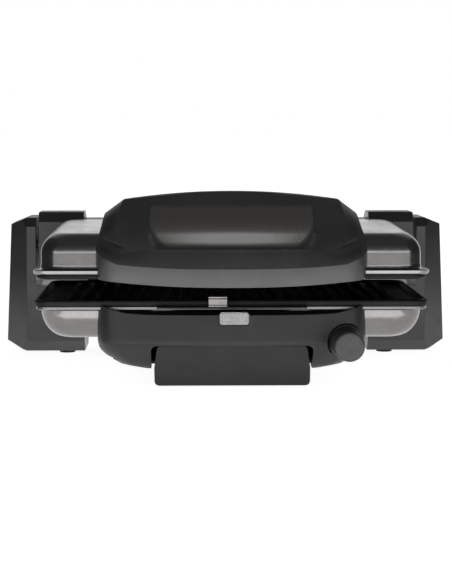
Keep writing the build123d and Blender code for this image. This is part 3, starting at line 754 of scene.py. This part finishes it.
# ---------- grill plates
@dataclass
class GrillPlate:
    """A cast plate: raised rim, deck, and parallel ribs modelled once and copied."""

    node: str
    body: str
    up: int
    ribs: int = 24
    pitch: float = 11.0
    foot: float = 5.4
    crest: float = 2.6
    rib_span: Point2 = (-92.0, 58.0)

    def heights(self) -> tuple[float, float, float]:
        """The plate's back face, deck and rim height, measured away from the food."""
        low, high = node_box(self.node)
        if self.up > 0:
            return low.z, high.z - 4.0, high.z
        return high.z, low.z + 4.4, low.z

    def body_mesh(self) -> Thing:
        """The rim and deck."""
        low, high = node_box(self.node)
        back, deck, rim = self.heights()
        box = plan_box(max(low.y, -107.8), high.x, high.y)
        casing = Casing()
        u = self.up
        skirt = rim - u * (5.2 if u > 0 else 4.0)
        steps = ((16.0, back), (15.0, back), (5.0, skirt - u * 1.0), (1.0, skirt), (0.2, skirt + u * 0.5),
                 (0.0, rim - u * 1.6), (0.5, rim - u * 0.5), (1.4, rim), (2.6, rim), (3.6, rim - u * 0.6),
                 (5.4, deck + u * 0.6), (6.4, deck), (14, deck))
        rings = [casing.ring(box, inset, z, 12) for inset, z in steps]
        return loft(self.node + "_casting", rings)

    def rib(self) -> Thing:
        """One rib with sloping ends, at the first place on the left."""
        _, deck, rim = self.heights()
        x = -self.pitch * (self.ribs - 1) / 2
        top = rim - self.up * 0.6
        start, end = self.rib_span
        sections = []
        for y, share in ((start - 3.5, 0.0), (start - 1.6, 0.55), (start, 0.9), (start + 2.5, 1.0),
                         (end - 2.5, 1.0), (end, 0.9), (end + 1.6, 0.55), (end + 3.5, 0.0)):
            z = deck + (top - deck) * share
            sink = deck - self.up * 0.5
            shoulder = z - self.up * 0.5 * share
            f, c = self.foot / 2, self.crest / 2
            flat = [(x - f, sink), (x + f, sink), (x + c + 0.5, shoulder), (x + c - 0.3, z),
                    (x - c + 0.3, z), (x - c - 0.5, shoulder)]
            sections.append(along_y(flat, y))
        return loft(self.node + "_rib", sections)

    def spout(self) -> Thing:
        """The low lip at the front that fat runs over."""
        low, _ = node_box(self.node)
        root = -104.5
        profile = [(root, 61.2), (-108.5, 61.3), (-112.5, 60.6), (low.y + 0.2, 60.5), (low.y, 60.0),
                   (low.y + 0.6, 59.5), (-112.0, 59.2), (-108.0, 58.8), (root, 58.4)]
        rings = [along_x([(y * k + (1 - k) * root, z) for y, z in profile], x) for x, k in
                 ((-57.6, 0.94), (-57.0, 0.985), (-54, 1.0), (54, 1.0), (57.0, 0.985), (57.6, 0.94))]
        return loft(self.node + "_spout", rings)

    def build(self) -> Thing:
        """The plate with all its ribs."""
        piece = self.body_mesh()
        rib = self.rib()
        for part, width in ((piece, 0.35), (rib, 0.4)):
            apply(part, "BEVEL", width=width * MM, segments=2, limit_method="ANGLE",
                  angle_limit=math.radians(25))
        parts = [piece, rib]
        for index in range(1, self.ribs):
            copy = rib.copy()
            copy.data = rib.data.copy()
            bpy.context.collection.objects.link(copy)
            activate(copy)
            bpy.ops.transform.translate(value=(self.pitch * index * MM, 0, 0))
            bpy.ops.object.transform_apply(location=True, rotation=True, scale=True)
            parts.append(copy)
        if self.up > 0:
            parts.append(self.spout())
        deselect()
        for part in parts:
            part.select_set(True)
        bpy.context.view_layer.objects.active = piece
        bpy.ops.object.join()
        finish_shading(piece, 40)
        dress(piece, NONSTICK, self.body, "nonstick", self.node)
        if self.up > 0:
            low, _ = node_box(self.node)
            # Painted highlight: the spout's front edge gets a pale metal colour for the highlight line along
            # it.
            second_finish(piece, SPOUT_EDGE_PAINTED_HIGHLIGHT, lambda x, y, z: y < low.y + 1.0 and z > 59.6)
        return piece


# ---------- lid hood
@dataclass
class HoodRow:
    """One level of the hood, from its middle round to its rear."""

    front: float
    bow: float
    middle_z: float
    edge_x: float
    edge_z: float
    corner: Point2
    side: Point3
    rear: Point3
    power: float = 3.0


@dataclass
class Hood:
    """The moulded handle hood: lip, grip bar, sloping panel with the hand pocket, roof."""

    node: str = "lid_hood"
    front_steps: int = 10
    corner_steps: int = 6
    edge: float = 1.1
    pocket_half: float = 64.3
    pocket_corner: float = 9.0
    pocket_draft: float = 7.0

    def half(self, row: HoodRow) -> Ring:
        """The row's points on the right-hand side, from the middle to the rear."""
        points = []
        for i in range(self.front_steps + 1):
            share = i / self.front_steps
            x = row.edge_x * share
            z = row.middle_z + (row.edge_z - row.middle_z) * share ** row.power
            points.append((x, row.front + row.bow * share ** 2, z))
        start, end = Vector(points[-1]), Vector(row.side)
        turn = Vector((row.corner[0], row.corner[1], (start.z + end.z) / 2))
        points += curve(start, turn, end, self.corner_steps)
        rear = Vector(row.rear)
        for share in (0.5, 1.0):
            points.append(tuple(end.lerp(rear, share)))
        return points

    def ring(self, row: HoodRow) -> Ring:
        """The whole row, left rear round the front to right rear."""
        return both_sides(self.half(row))

    def panel(self, z: float) -> float:
        """The sloping panel's y at a height on the middle line."""
        low, _ = node_box(self.node)
        return low.y + 5.2 + 0.885 * (z - low.z - 28.6)

    def bowed(self, x: float) -> float:
        """How far back the panel curves at a distance from the middle."""
        return 6.4 * (x / 84) ** 2

    def panel_row(self, z: float, edge: Point2, side: Point3) -> HoodRow:
        """A level of the sloping panel with a flat facet beside it.

        Args:
            z: its height on the middle line.
            edge: x and z where the facet starts.
            side: where the facet ends.

        Returns:
            The row.
        """
        low, high = node_box(self.node)
        y = self.panel(z)
        bow = 6.6 - 1.6 * (z - low.z - 28) / 44
        rear = (side[0] + 0.2, high.y, min(low.z + 44.2, side[2]))
        corner = ((edge[0] + side[0]) / 2, (y + bow + side[1]) / 2)
        return HoodRow(y, bow, z, edge[0], edge[1], corner, side, rear)

    def rows(self) -> list[HoodRow]:
        """The hood's levels, from the lip's lower edge over the panel to the roof's rear edge."""
        low, high = node_box(self.node)
        f, w, b, t, r = low.y, high.x, low.z, high.z, high.y
        rows = [
            HoodRow(f + 2.0, 6.8, b, 86, b + 3.6, (101.5, f + 11), (w - 0.6, f + 24, b + 5.6),
                    (w - 0.6, r, b + 5.6), 2.4),
            HoodRow(f + 0.3, 6.8, b + 7, 87, b + 9.2, (102.5, f + 9.6), (w, f + 24, b + 17), (w, r, b + 17)),
            HoodRow(f, 6.8, b + 14.2, 87, b + 17.4, (102.5, f + 10), (w, f + 24, b + 27.6), (w, r, b + 27.6)),
            HoodRow(f + 0.8, 6.9, b + 16.0, 86.5, b + 19.2, (101.6, f + 10.4), (w - 0.4, f + 24.6, b + 29.0),
                    (w - 0.4, r, b + 29.0)),
            HoodRow(f + 2.2, 7.0, b + 20.6, 85.6, b + 22.8, (99.6, f + 13.4), (w - 0.9, f + 26.2, b + 31.8),
                    (w - 1, r, b + 31.8)),
            HoodRow(f + 3.7, 6.9, b + 25.2, 83.6, b + 26.0, (96.8, f + 17.2), (w - 1.4, f + 27.8, b + 34.5),
                    (w - 1.5, r, b + 34.5)),
        ]
        facets = ((28.4, 80.0, 28.6, 1.9, 29.4, 37.0), (30.4, 84.8, 30.8, 2.2, 30.8, 38.8),
                  (33.0, 87.6, 33.6, 2.5, 32.4, 40.4), (37.5, 89.2, 38.2, 2.9, 35, 42.0),
                  (46.0, 88.7, 46.2, 3.7, 40.6, 45.4), (55.0, 87.4, 54.2, 4.6, 47, 49.6),
                  (63.0, 85.7, 60.6, 5.3, 53.5, 53.0), (69.6, 84.4, 64.4, 5.7, 58.5, 54.1))
        for z, edge_x, edge_z, inset, side_y, side_z in facets:
            rows.append(self.panel_row(b + z, (edge_x, b + edge_z), (w - inset, f + side_y, b + side_z)))
        top = self.panel(b + 69.6)
        roof = ((2.4, 0.5, 6.2, 83.6, 5.9, 54.4, 60), (5.4, 0.0, 6.4, 83.0, 6.5, 54.6, 62),
                (22.0, 2.4, 6.2, 82.0, 7.4, 52.4, 78), (52.0, 14.0, 3.6, 81.0, 8.2, 47.4, 102))
        for back, drop, arch, edge_x, inset, side_z, side_y in roof:
            y = top + back
            side = (w - inset, f + side_y, b + side_z)
            rows.append(HoodRow(y, 4.6 - back * 0.07, t - drop, edge_x, t - drop - arch,
                                ((edge_x + side[0]) / 2, (y + 4 + side[1]) / 2), side,
                                (side[0], r, b + 44.2), 2.0))
        rows.append(HoodRow(r - 0.6, 0.1, b + 44.6, 79, b + 44.4, (88, r - 0.4), (w - 9, r - 0.3, b + 44.3),
                            (w - 8, r, b + 44.2)))
        return rows

    def wall(self, z: float) -> float:
        """The pocket's rear wall on the middle line: upright below, bent back to meet the panel above."""
        low, _ = node_box(self.node)
        rise = z - low.z - 28.6
        bent = min(max(rise - 12.0, 0.0), 11.55)
        fillet = min(max(0.0, 3.0 - rise), 3.0)
        y = low.y + 20.8 + 0.12 * min(rise, 23.55) + 0.0331 * bent ** 2 + 0.885 * max(0.0, rise - 23.55)
        return y - (3.0 - math.sqrt(9.0 - fillet ** 2))

    def pocket(self) -> Thing:
        """The scooped hand pocket: round lower corners, drafted sides, a wall that rises to the panel."""
        low, _ = node_box(self.node)
        bottom = low.z + 28.6

        def level(z: float) -> Ring:
            """The pocket's outline at a height, from the middle of its wall round to the middle again."""
            depth = self.wall(z) - self.panel(z)
            below = min(max(0.0, self.pocket_corner - (z - bottom)), self.pocket_corner)
            round_off = self.pocket_corner - math.sqrt(self.pocket_corner ** 2 - below ** 2)
            half = self.pocket_half - round_off
            half *= 1 - 0.02 * max(0.0, z - bottom - 17) / 17
            turn = min(6.0, depth * 0.5)
            inner = half - self.pocket_draft * depth / 19 - turn
            flatter = 1 - 0.75 * depth / 17
            across = [inner * i / 6 for i in range(7)]
            right = [(x, self.wall(z) + self.bowed(x) * flatter) for x in across]
            start = right[-1][1]
            for i in range(1, 7):
                angle = math.radians(15 * i)
                right.append((inner + turn * math.sin(angle), start - turn * (1 - math.cos(angle))))
            edge = self.panel(z) + self.bowed(half)
            right += [(half, edge - 0.2), (half, edge - 14.0)]
            left = [(-x, y) for x, y in right[:0:-1]]
            return [(x, y, z) for x, y in right + left]

        steps = (0.0, 0.25, 0.8, 1.8, 3.2, 5.0, 7.0, 9.0, 10.5, 12.0, 14.6, 17.5, 20.0, 22.0, 23.55, 26.5,
                 28.0, 30.6, 32.9)
        return loft("pocket", [level(bottom + step) for step in steps])

    def build(self) -> Thing:
        """The hood, carved to sit over the lid's casing."""
        low, _ = node_box(self.node)
        shell_low, shell_high = node_box("upper_shell")
        piece = loft("lid_hood_moulding", [self.ring(row) for row in self.rows()])
        inner = [(x * 0.965, y + 3.4) for x, y, _ in self.ring(self.rows()[1])]
        under = [along_z(inner, z) for z in (low.z - 4, low.z + 7.3)]
        casing = Casing()
        body_box = plan_box(shell_low.y + 4.4, shell_high.x - 4.4, shell_high.y - 4.4)
        flange_box = plan_box(shell_low.y - 0.5, shell_high.x + 0.5, shell_high.y + 0.5)
        flange = [casing.ring(flange_box, 0, z, 12) for z in (low.z - 6, shell_low.z + 6.0)]
        slope = 4.0 / (shell_high.y - shell_low.y)
        body = []
        for inset, up in ((0, -2), (0, 19), (1.8, 25), (6.0, 30), (13, 32.2), (41, 32.6)):
            rise = shell_low.z + up
            body.append(casing.ring(body_box, inset, lambda y: rise + slope * (y - shell_low.y), casing.corner))
        carve(piece, self.pocket(), loft("under", under), loft("flange_space", flange),
              loft("casing_space", body))
        soften(piece, self.edge, 3, 20)
        dress(piece, GRAPHITE, "lid", "graphite_plastic", self.node, "grip_liner")
        # Painted light: the pocket's faces get a lighter grey than the hood around them.
        second_finish(piece, POCKET_LINER_PAINTED_LIGHT, self.in_pocket)
        return piece

    def in_pocket(self, x: float, y: float, z: float) -> bool:
        """Whether a place on the surface belongs to the pocket's liner, whose lighter grey is painted light."""
        low, _ = node_box(self.node)
        inside = abs(x) < self.pocket_half + 0.4 and low.z + 28.2 < z < low.z + 61.7
        return inside and self.panel(z) + self.bowed(x) + 0.9 < y < low.y + 42


# ---------- base fascia
@dataclass
class Fascia:
    """The base's moulded front, with the tray's opening, the knob's well and the lens's seat."""

    node: str = "lower_fascia"
    lean: float = 3.6
    drop: float = 1.7
    edge: float = 1.1
    bow: float = 6.8

    def level(self, z: float, front: float, half: float, inset: float = 0.0) -> Ring:
        """One level outline: bowed front, round corners, straight sides.

        Args:
            z: its height.
            front: y of the front's middle.
            half: half width.
            inset: how far inside everything lies.

        Returns:
            The ring.
        """
        _, high = node_box(self.node)
        half, front, rear = half - inset, front + inset, high.y + (6 if inset else 0)
        turn = min(17.0, (high.y - front - self.bow) * 0.62)
        right = []
        for i in range(9):
            share = i / 8
            right.append(((half - turn) * share, front + self.bow * share ** 2))
        start = Vector(right[-1])
        corner, end = Vector((half - 2.5, front + self.bow + 2.2)), Vector((half, front + self.bow + turn))
        right += curve(start, corner, end, 8)
        right.append((half, rear))
        return along_z(both_sides(right), z)

    def build(self) -> Thing:
        """The moulding, hollowed from above and behind, with its openings."""
        low, high = node_box(self.node)
        f, w, b = low.y, high.x, low.z
        levels = [(-self.drop, 16.0, 32.0), (-0.2, 15.2, 24.0), (1.4, 14.0, 17.5), (5.0, 11.1, 11.6),
                  (9.0, 7.9, 6.0), (12.4, 5.2, 2.6), (15.2, 3.0, 1.0), (18.2, 0.7, 0.5), (19.2, 0.2, 0.3),
                  (20.6, 0.0, 0.1), (24.0, self.lean * 0.1, 0.0), (47.5, self.lean, 0.0)]
        rings = [self.level(b + up, f + back, w - side) for up, back, side in levels]
        piece = loft("base_fascia_moulding", rings)
        cavity = ((5.0, 13.0), (20.5, 2.0), (60, self.lean + 1))
        hollow = [self.level(b + up, f + back, w - 3, 3.0) for up, back in cavity]
        swoop = [(120, 61.9), (103, 61.9), (97, 60.6), (90, 58.0), (80, 56.1), (64, 55.4)]
        top = [(-x, z) for x, z in swoop] + swoop[::-1] + [(120, 90), (-120, 90)]
        trim = bar("top_trim", top, -140, -60)
        shell_low, shell_high = node_box("lower_shell")
        casing = Casing()
        space = plan_box(shell_low.y + 2.6, shell_high.x, shell_high.y)
        steps = ((20, shell_low.z - 0.6), (9, shell_low.z + 1.6), (3, shell_low.z + 8), (0, shell_low.z + 19),
                 (0, high.z + 6))
        bowl = [casing.ring(space, inset, z, casing.corner) for inset, z in steps]
        rim = plan_box(shell_low.y - 1.6, shell_high.x + 6, shell_high.y)
        ledge = [casing.ring(rim, 0, z, 12) for z in (shell_high.z - 2.6, high.z + 6)]
        carve(piece, trim, loft("fascia_hollow", hollow), loft("bowl_space", bowl), loft("rim_space", ledge))
        carve(piece, self.tray_opening(), self.knob_well(), self.lens_seat())
        soften(piece, self.edge, 3, 24)
        # Painted shade: the fascia's grey is darker than the hood's to offset the floor's light on it.
        return dress(piece, GRAPHITE_BASE_PAINTED_SHADE, "base", "graphite_plastic", self.node)

    def tray_opening(self) -> Thing:
        """The opening round the tray's front, with round upper corners."""
        _, tray_high = node_box("drip_tray")
        half, top = tray_high.x + 2.6, tray_high.z + 1.9
        outline = rounded_box((half, top / 2 + 10), (0, top / 2 - 10), 4.5, 6)
        return bar("tray_opening", outline, -140, -80)

    def knob_well(self) -> Thing:
        """The round well that the knob turns in, open at the fascia's corner."""
        knob_low, knob_high = node_box("control_knob")
        centre = ((knob_low.x + knob_high.x) / 2, (knob_low.z + knob_high.z) / 2)
        radius = (knob_high.x - knob_low.x) / 2 + 1.2
        profile = [(-160, radius + 1.2), (-128, radius + 0.6), (-117, radius), (-115, radius - 1.6)]
        return lathe("knob_well", centre, profile)

    def lens_seat(self) -> Thing:
        """The notch in the top edge that holds the lens."""
        low, high = node_box("indicator_lens")
        centre = ((low.x + high.x) / 2, (low.z + high.z) / 2 + 7.8)
        outline = rounded_box(((high.x - low.x) / 2 + 0.3, (high.z - low.z) / 2 + 8), centre, 1.6, 3)
        return bar("lens_seat", outline, low.y - 4, high.y + 0.2)


# ---------- knob, lens, tray
@dataclass
class Knob:
    """The thermostat knob: crowned face, fine chamfer, skirt and a pointer groove."""

    node: str = "control_knob"

    def build(self) -> Thing:
        """The turned knob with its groove."""
        low, high = node_box(self.node)
        centre = ((low.x + high.x) / 2, (low.z + high.z) / 2)
        skirt = (high.x - low.x) / 2
        r = skirt - 1.9
        face = [(0.2, 0.6), (0, r * 0.5), (0, r - 2.2), (0.15, r - 1.4), (0.6, r - 0.6), (1.5, r - 0.15),
                (3, r)]
        back = [(5, r + 0.5), (3.6, r + 0.7), (3.1, r + 1.2), (2.9, skirt - 0.2), (2.4, skirt), (0.3, skirt),
                (0, skirt - 0.4), (0, 3.2)]
        profile = [(low.y + y, radius) for y, radius in face] + [(high.y - y, radius) for y, radius in back]
        piece = lathe("control_knob_turned", centre, profile, 72)
        groove = rounded_box((0.55, 3.2), (centre[0], centre[1] + r - 4.6), 0.5, 4)
        carve(piece, bar("pointer", groove, low.y - 1, low.y + 0.45))
        finish_shading(piece, 40)
        return dress(piece, KNOB, "knob", "knob_plastic", self.node)


@dataclass
class Lens:
    """The indicator lens: a rounded window with small prisms moulded into its face."""

    node: str = "indicator_lens"
    columns: int = 11

    def build(self) -> Thing:
        """The window with round corners and prisms across its face."""
        low, high = node_box(self.node)
        middle = ((low.x + high.x) / 2, (low.z + high.z) / 2 + 0.3)
        half = ((high.x - low.x) / 2, (high.z - low.z) / 2 - 0.3)
        steps = ((1.2, low.y), (0.5, low.y + 0.15), (0.1, low.y + 0.6), (0.0, low.y + 1.2), (0.0, high.y))
        rings = [along_y(rounded_box((half[0] - inset, half[1] - inset), middle, 2.0, 5), y)
                 for inset, y in steps]
        piece = loft("indicator_lens_prismatic", rings)
        slot = rounded_box((0.42, half[1] - 2.2), (low.x + 2.6, middle[1]), 0.4, 3)
        prisms = []
        for index in range(self.columns):
            x = index * (high.x - low.x - 5.2) / (self.columns - 1)
            shifted = [(px + x, pz) for px, pz in slot]
            prisms.append(bar("prism", shifted, low.y - 1, low.y + 0.35))
        carve(piece, *prisms)
        finish_shading(piece, 30)
        return dress(piece, ACRYLIC, "base", "clear_lens", self.node)


@dataclass
class DripTray:
    """The pull-out grease tray: leaning front plate, tub and side lips."""

    node: str = "drip_tray"
    lean: float = 2.6
    thick: float = 3.0

    def build(self) -> Thing:
        """The plate with a hollow tub behind it."""
        low, high = node_box(self.node)
        top = high.z + 1.3
        right = [(0.0, low.z), (high.x - 3.6, low.z), (high.x - 1.8, low.z + 0.5), (high.x - 0.6, low.z + 1.6),
                 (high.x - 0.1, low.z + 3.4), (high.x + 0.1, 15.0), (high.x - 1.9, top - 2.6),
                 (high.x - 2.6, top - 0.9), (high.x - 4.2, top), (0.0, top)]
        face = right + [(-x, z) for x, z in right[-2:0:-1]]

        def leaning(y: float) -> Ring:
            """The plate's outline at a depth, its top further back."""
            return [(x, y + self.lean * (z - low.z) / (top - low.z), z) for x, z in face]

        piece = loft("drip_tray_moulding", [leaning(low.y), leaning(low.y + self.thick)])
        grows = (-4.0, -1.2, 1.0, 2.0)
        half, middle = (high.y - low.y) / 2, (0, (low.y + high.y) / 2 + 2)
        outer = loft("tub", [along_z(rounded_box((44 + grow, half - 5 + grow), middle, 6, 5), z)
                             for grow, z in zip(grows, (4.0, 5.0, 9.0, 23.0))])
        inner = loft("well", [along_z(rounded_box((42 + grow, half - 7 + grow), middle, 5, 5), z)
                              for grow, z in zip(grows, (6.0, 7.0, 11.0, 32.0))])
        fuse(piece, outer)
        for side in (-1, 1):
            lip = [(side * x, z) for x, z in ((45, 20.9), (49.2, 20.9), (49.2, 23.0), (45, 23.0))]
            fuse(piece, bar("runner", lip, low.y + 36, high.y - 2))
        carve(piece, inner)
        soften(piece, 0.9, 3, 30)
        # Painted shade: the tray's front is darker than the fascia to offset the floor's light on it.
        return dress(piece, TRAY_PAINTED_SHADE, "tray", "base_plastic", self.node)


# ---------- everything else
def reworked_nodes() -> dict[str, tuple[float, Finish, str, str]]:
    """Edge radius, finish, body and slot of each node that keeps its CAD shape."""
    listed = {}
    for side in ("left", "right"):
        listed["tower_" + side] = (2.2, GRAPHITE, "base", "graphite_plastic")
        listed["tower_floor_" + side] = (0.4, UNDERBODY, "base", "base_plastic")
        listed["guide_rail_" + side] = (0.3, ZINC, "base", "zinc_steel")
        listed["slide_block_" + side] = (0.4, NYLON, "carriage", "nylon")
        listed["hinge_cover_" + side] = (1.3, GRAPHITE, "lid", "graphite_plastic")
        listed["hinge_arm_" + side] = (0.3, ZINC, "lid", "zinc_steel")
    listed["lid_rear_cover"] = (1.3, GRAPHITE, "lid", "graphite_plastic")
    listed["lower_plate_clip"] = (0.15, STAINLESS, "base", "bright_steel")
    listed["rear_housing"] = (1.2, UNDERBODY, "base", "base_plastic")
    listed["rear_housing_cover"] = (0.4, UNDERBODY, "base", "base_plastic")
    listed["cord_gland"] = (0.4, RUBBER, "base", "rubber_black")
    return listed


@dataclass
class Reworked:
    """CAD nodes whose shape is right: each gets softened edges and its own finish."""

    edges: dict[str, tuple[float, Finish, str, str]] = field(default_factory=reworked_nodes)

    def build(self) -> None:
        """Replaces every listed node by a copy with softened edges."""
        for node, (edge, finish, body, slot) in self.edges.items():
            piece = copy_of_node(node, node + "_finished")
            soften(piece, edge, 2)
            dress(piece, finish, body, slot, node)


PLAIN_NODES = {
    "lower_heating_element": SHEATH, "upper_heating_element": SHEATH, "lower_reflector": STAINLESS,
    "upper_reflector": STAINLESS, "lower_thermal_fuse": ZINC, "upper_thermal_fuse": ZINC,
    "indicator_lamps": NEON, "thermostat": PHENOLIC, "thermostat_spindle": SHAFT,
    "terminal_block": STEATITE, "tower_feet": RUBBER, "front_feet": RUBBER, "base_screws": ZINC,
    "hinge_shaft": SHAFT, "shaft_rings": ZINC,
}


@dataclass
class Pan:
    """The base pan, its front corners cut back behind the fascia."""

    node: str = "base_pan"

    def build(self) -> Thing:
        """The pan with both corners cut and its edges rounded."""
        low, _ = node_box(self.node)
        piece = copy_of_node(self.node, "base_pan_moulding")
        for side in (-1, 1):
            flat = rounded_box((12, 14), (side * 90, low.y + 8), 3, 4)
            carve(piece, loft("corner", [along_z(flat, low.z - 4), along_z(flat, 30.5)]))
        soften(piece, 0.8, 2)
        return dress(piece, UNDERBODY, "base", "base_plastic", self.node)


def dress_plain_nodes() -> None:
    """Gives the small and hidden CAD nodes their finishes."""
    for node, finish in PLAIN_NODES.items():
        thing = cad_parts[node]
        for slot in thing.material_slots:
            slot.material = finish.material()
        log.info("%s keeps its CAD mesh: %s", node, finish.name)


# ---------- studio
@dataclass
class Studio:
    """Pale floor, a soft grey sky, dark cards at the sides, a low front light, and the camera."""

    camera_from_tray: Vector = field(default_factory=lambda: Vector((-34.4, -1354.0, 199.6)))
    pitch_deg: float = 5.33
    yaw_deg: float = 1.25
    lens_mm: float = 110.4
    table_glow: float = 0.9
    flag_places: Point2 = (-0.5, 0.62)
    front_tones: Sequence[Point2] = ((0.0, 0.26), (1.0, 0.1), (0.06, 0.35), (0.11, 2.2), (0.22, 2.2),
                                     (0.32, 0.3), (0.55, 0.15), (0.8, 0.1))
    back_tones: Sequence[Point2] = ((0.0, 1.0), (1.0, 0.02), (0.08, 1.0), (0.3, 0.55), (0.6, 0.25),
                                    (0.85, 0.12))

    def matte(self, name: str, sockets: dict[str, object]) -> Material:
        """A plain material for something that is not part of the press.

        Args:
            name: the material's name.
            sockets: the shader's inputs and their values.

        Returns:
            The material.
        """
        made = bpy.data.materials.new(name)
        made.use_nodes = True
        for key, value in sockets.items():
            made.node_tree.nodes["Principled BSDF"].inputs[key].default_value = value
        return made

    def floor(self) -> None:
        """A pale seamless floor far wider than the view."""
        deselect()
        bpy.ops.mesh.primitive_plane_add(size=60)
        floor = bpy.context.object
        floor.name = "studio_floor"
        floor.data.materials.append(self.matte("pale_paper_floor", {
            "Base Color": linear("#f4f4f4"), "Roughness": 0.9, "Specular IOR Level": 0.1,
            "Emission Color": linear("#ffffff"), "Emission Strength": self.table_glow}))

    def softbox(self, name: str, place: Point3, aim: Point3, size: Point2, power: float) -> None:
        """One rectangular area light.

        Args:
            name: its name.
            place: where it hangs, in metres.
            aim: what it points at.
            size: its two sides.
            power: in watts.
        """
        deselect()
        bpy.ops.object.light_add(type="AREA", location=place)
        lamp = bpy.context.object
        lamp.name = name
        lamp.data.shape = "RECTANGLE"
        lamp.data.size, lamp.data.size_y = size
        lamp.data.energy = power
        lamp.visible_camera = False
        direction = Vector(aim) - Vector(place)
        lamp.rotation_euler = direction.to_track_quat("-Z", "Y").to_euler()

    def ramp(self, tree: Tree, height: Socket,
             stops: Sequence[Point2]) -> Socket:
        """A grey ramp over the height of the direction.

        Args:
            tree: the world's nodes.
            height: the direction's height, 0 at the horizon and 1 overhead.
            stops: (height, brightness) pairs.

        Returns:
            The ramp's colour.
        """
        node = add_node(tree, "ShaderNodeValToRGB", None, {0: height})
        band = node.color_ramp
        band.interpolation = "EASE"
        for index, (place, tone) in enumerate(stops):
            stop = band.elements[index] if index < 2 else band.elements.new(place)
            stop.position, stop.color = place, (tone, tone, tone, 1)
        return node.outputs[0]

    def flag(self, x: float) -> None:
        """A dark card beside the press that keeps its outer sides from washing out.

        Args:
            x: where it stands.
        """
        deselect()
        bpy.ops.mesh.primitive_plane_add(size=1, location=(x, 0.15, 0.36), rotation=(0, math.radians(90), 0))
        card = bpy.context.object
        card.name = "flag_left" if x < 0 else "flag_right"
        card.scale = (0.7, 1.0, 1.0)
        card.visible_camera = False
        card.data.materials.append(self.matte(card.name + "_felt", {
            "Base Color": linear("#4c4c4c"), "Roughness": 0.95}))

    def sky(self) -> None:
        """A room that is white behind the press, with one bright low band in front, and dim overhead."""
        world = bpy.data.worlds.new("studio")
        bpy.context.scene.world = world
        world.use_nodes = True
        tree = world.node_tree
        tree.nodes.clear()
        way = add_node(tree, "ShaderNodeTexCoord").outputs["Generated"]
        parts = add_node(tree, "ShaderNodeSeparateXYZ", None, {0: way})
        front = self.ramp(tree, parts.outputs["Z"], self.front_tones)
        back = self.ramp(tree, parts.outputs["Z"], self.back_tones)
        share = add_node(tree, "ShaderNodeMapRange",
                         {"From Min": 0.2, "From Max": 0.75, "interpolation_type": "SMOOTHSTEP"},
                         {"Value": parts.outputs["Y"]})
        tone = blend(tree, share.outputs[0], front, back)
        shade = add_node(tree, "ShaderNodeBackground", None, {"Color": tone})
        add_node(tree, "ShaderNodeOutputWorld", None, {"Surface": shade.outputs[0]})

    def camera(self) -> None:
        """The camera, placed from the drip tray's front."""
        tray_low, _ = node_box("drip_tray")
        place = (self.camera_from_tray + Vector((0, tray_low.y, 0))) * MM
        deselect()
        bpy.ops.object.camera_add(location=place)
        camera = bpy.context.object
        camera.rotation_euler = (math.radians(90 - self.pitch_deg), 0, math.radians(-self.yaw_deg))
        camera.data.lens = self.lens_mm
        camera.data.sensor_width = 36
        bpy.context.scene.camera = camera

    def build(self) -> None:
        """Floor, lights and camera."""
        self.floor()
        self.sky()
        for x in self.flag_places:
            self.flag(x)
        self.softbox("low_front_panel", (0, -0.33, 0.003), (0, -0.33, 1), (0.5, 0.3), 0.7)
        self.camera()
        bpy.context.scene.view_settings.view_transform = "Standard"
        log.info("studio: floor, sky, side cards, front light and the camera")


def main() -> None:
    """Builds the press and its studio."""
    logging.basicConfig(level=logging.INFO, format="%(message)s")
    LidCasing().build()
    BaseCasing().build()
    GrillPlate("lower_grill_plate", "base", 1).build()
    GrillPlate("upper_grill_plate", "lid", -1).build()
    Hood().build()
    Fascia().build()
    Knob().build()
    Lens().build()
    DripTray().build()
    Pan().build()
    Reworked().build()
    dress_plain_nodes()
    Studio().build()


if __name__ == "__main__":
    main()
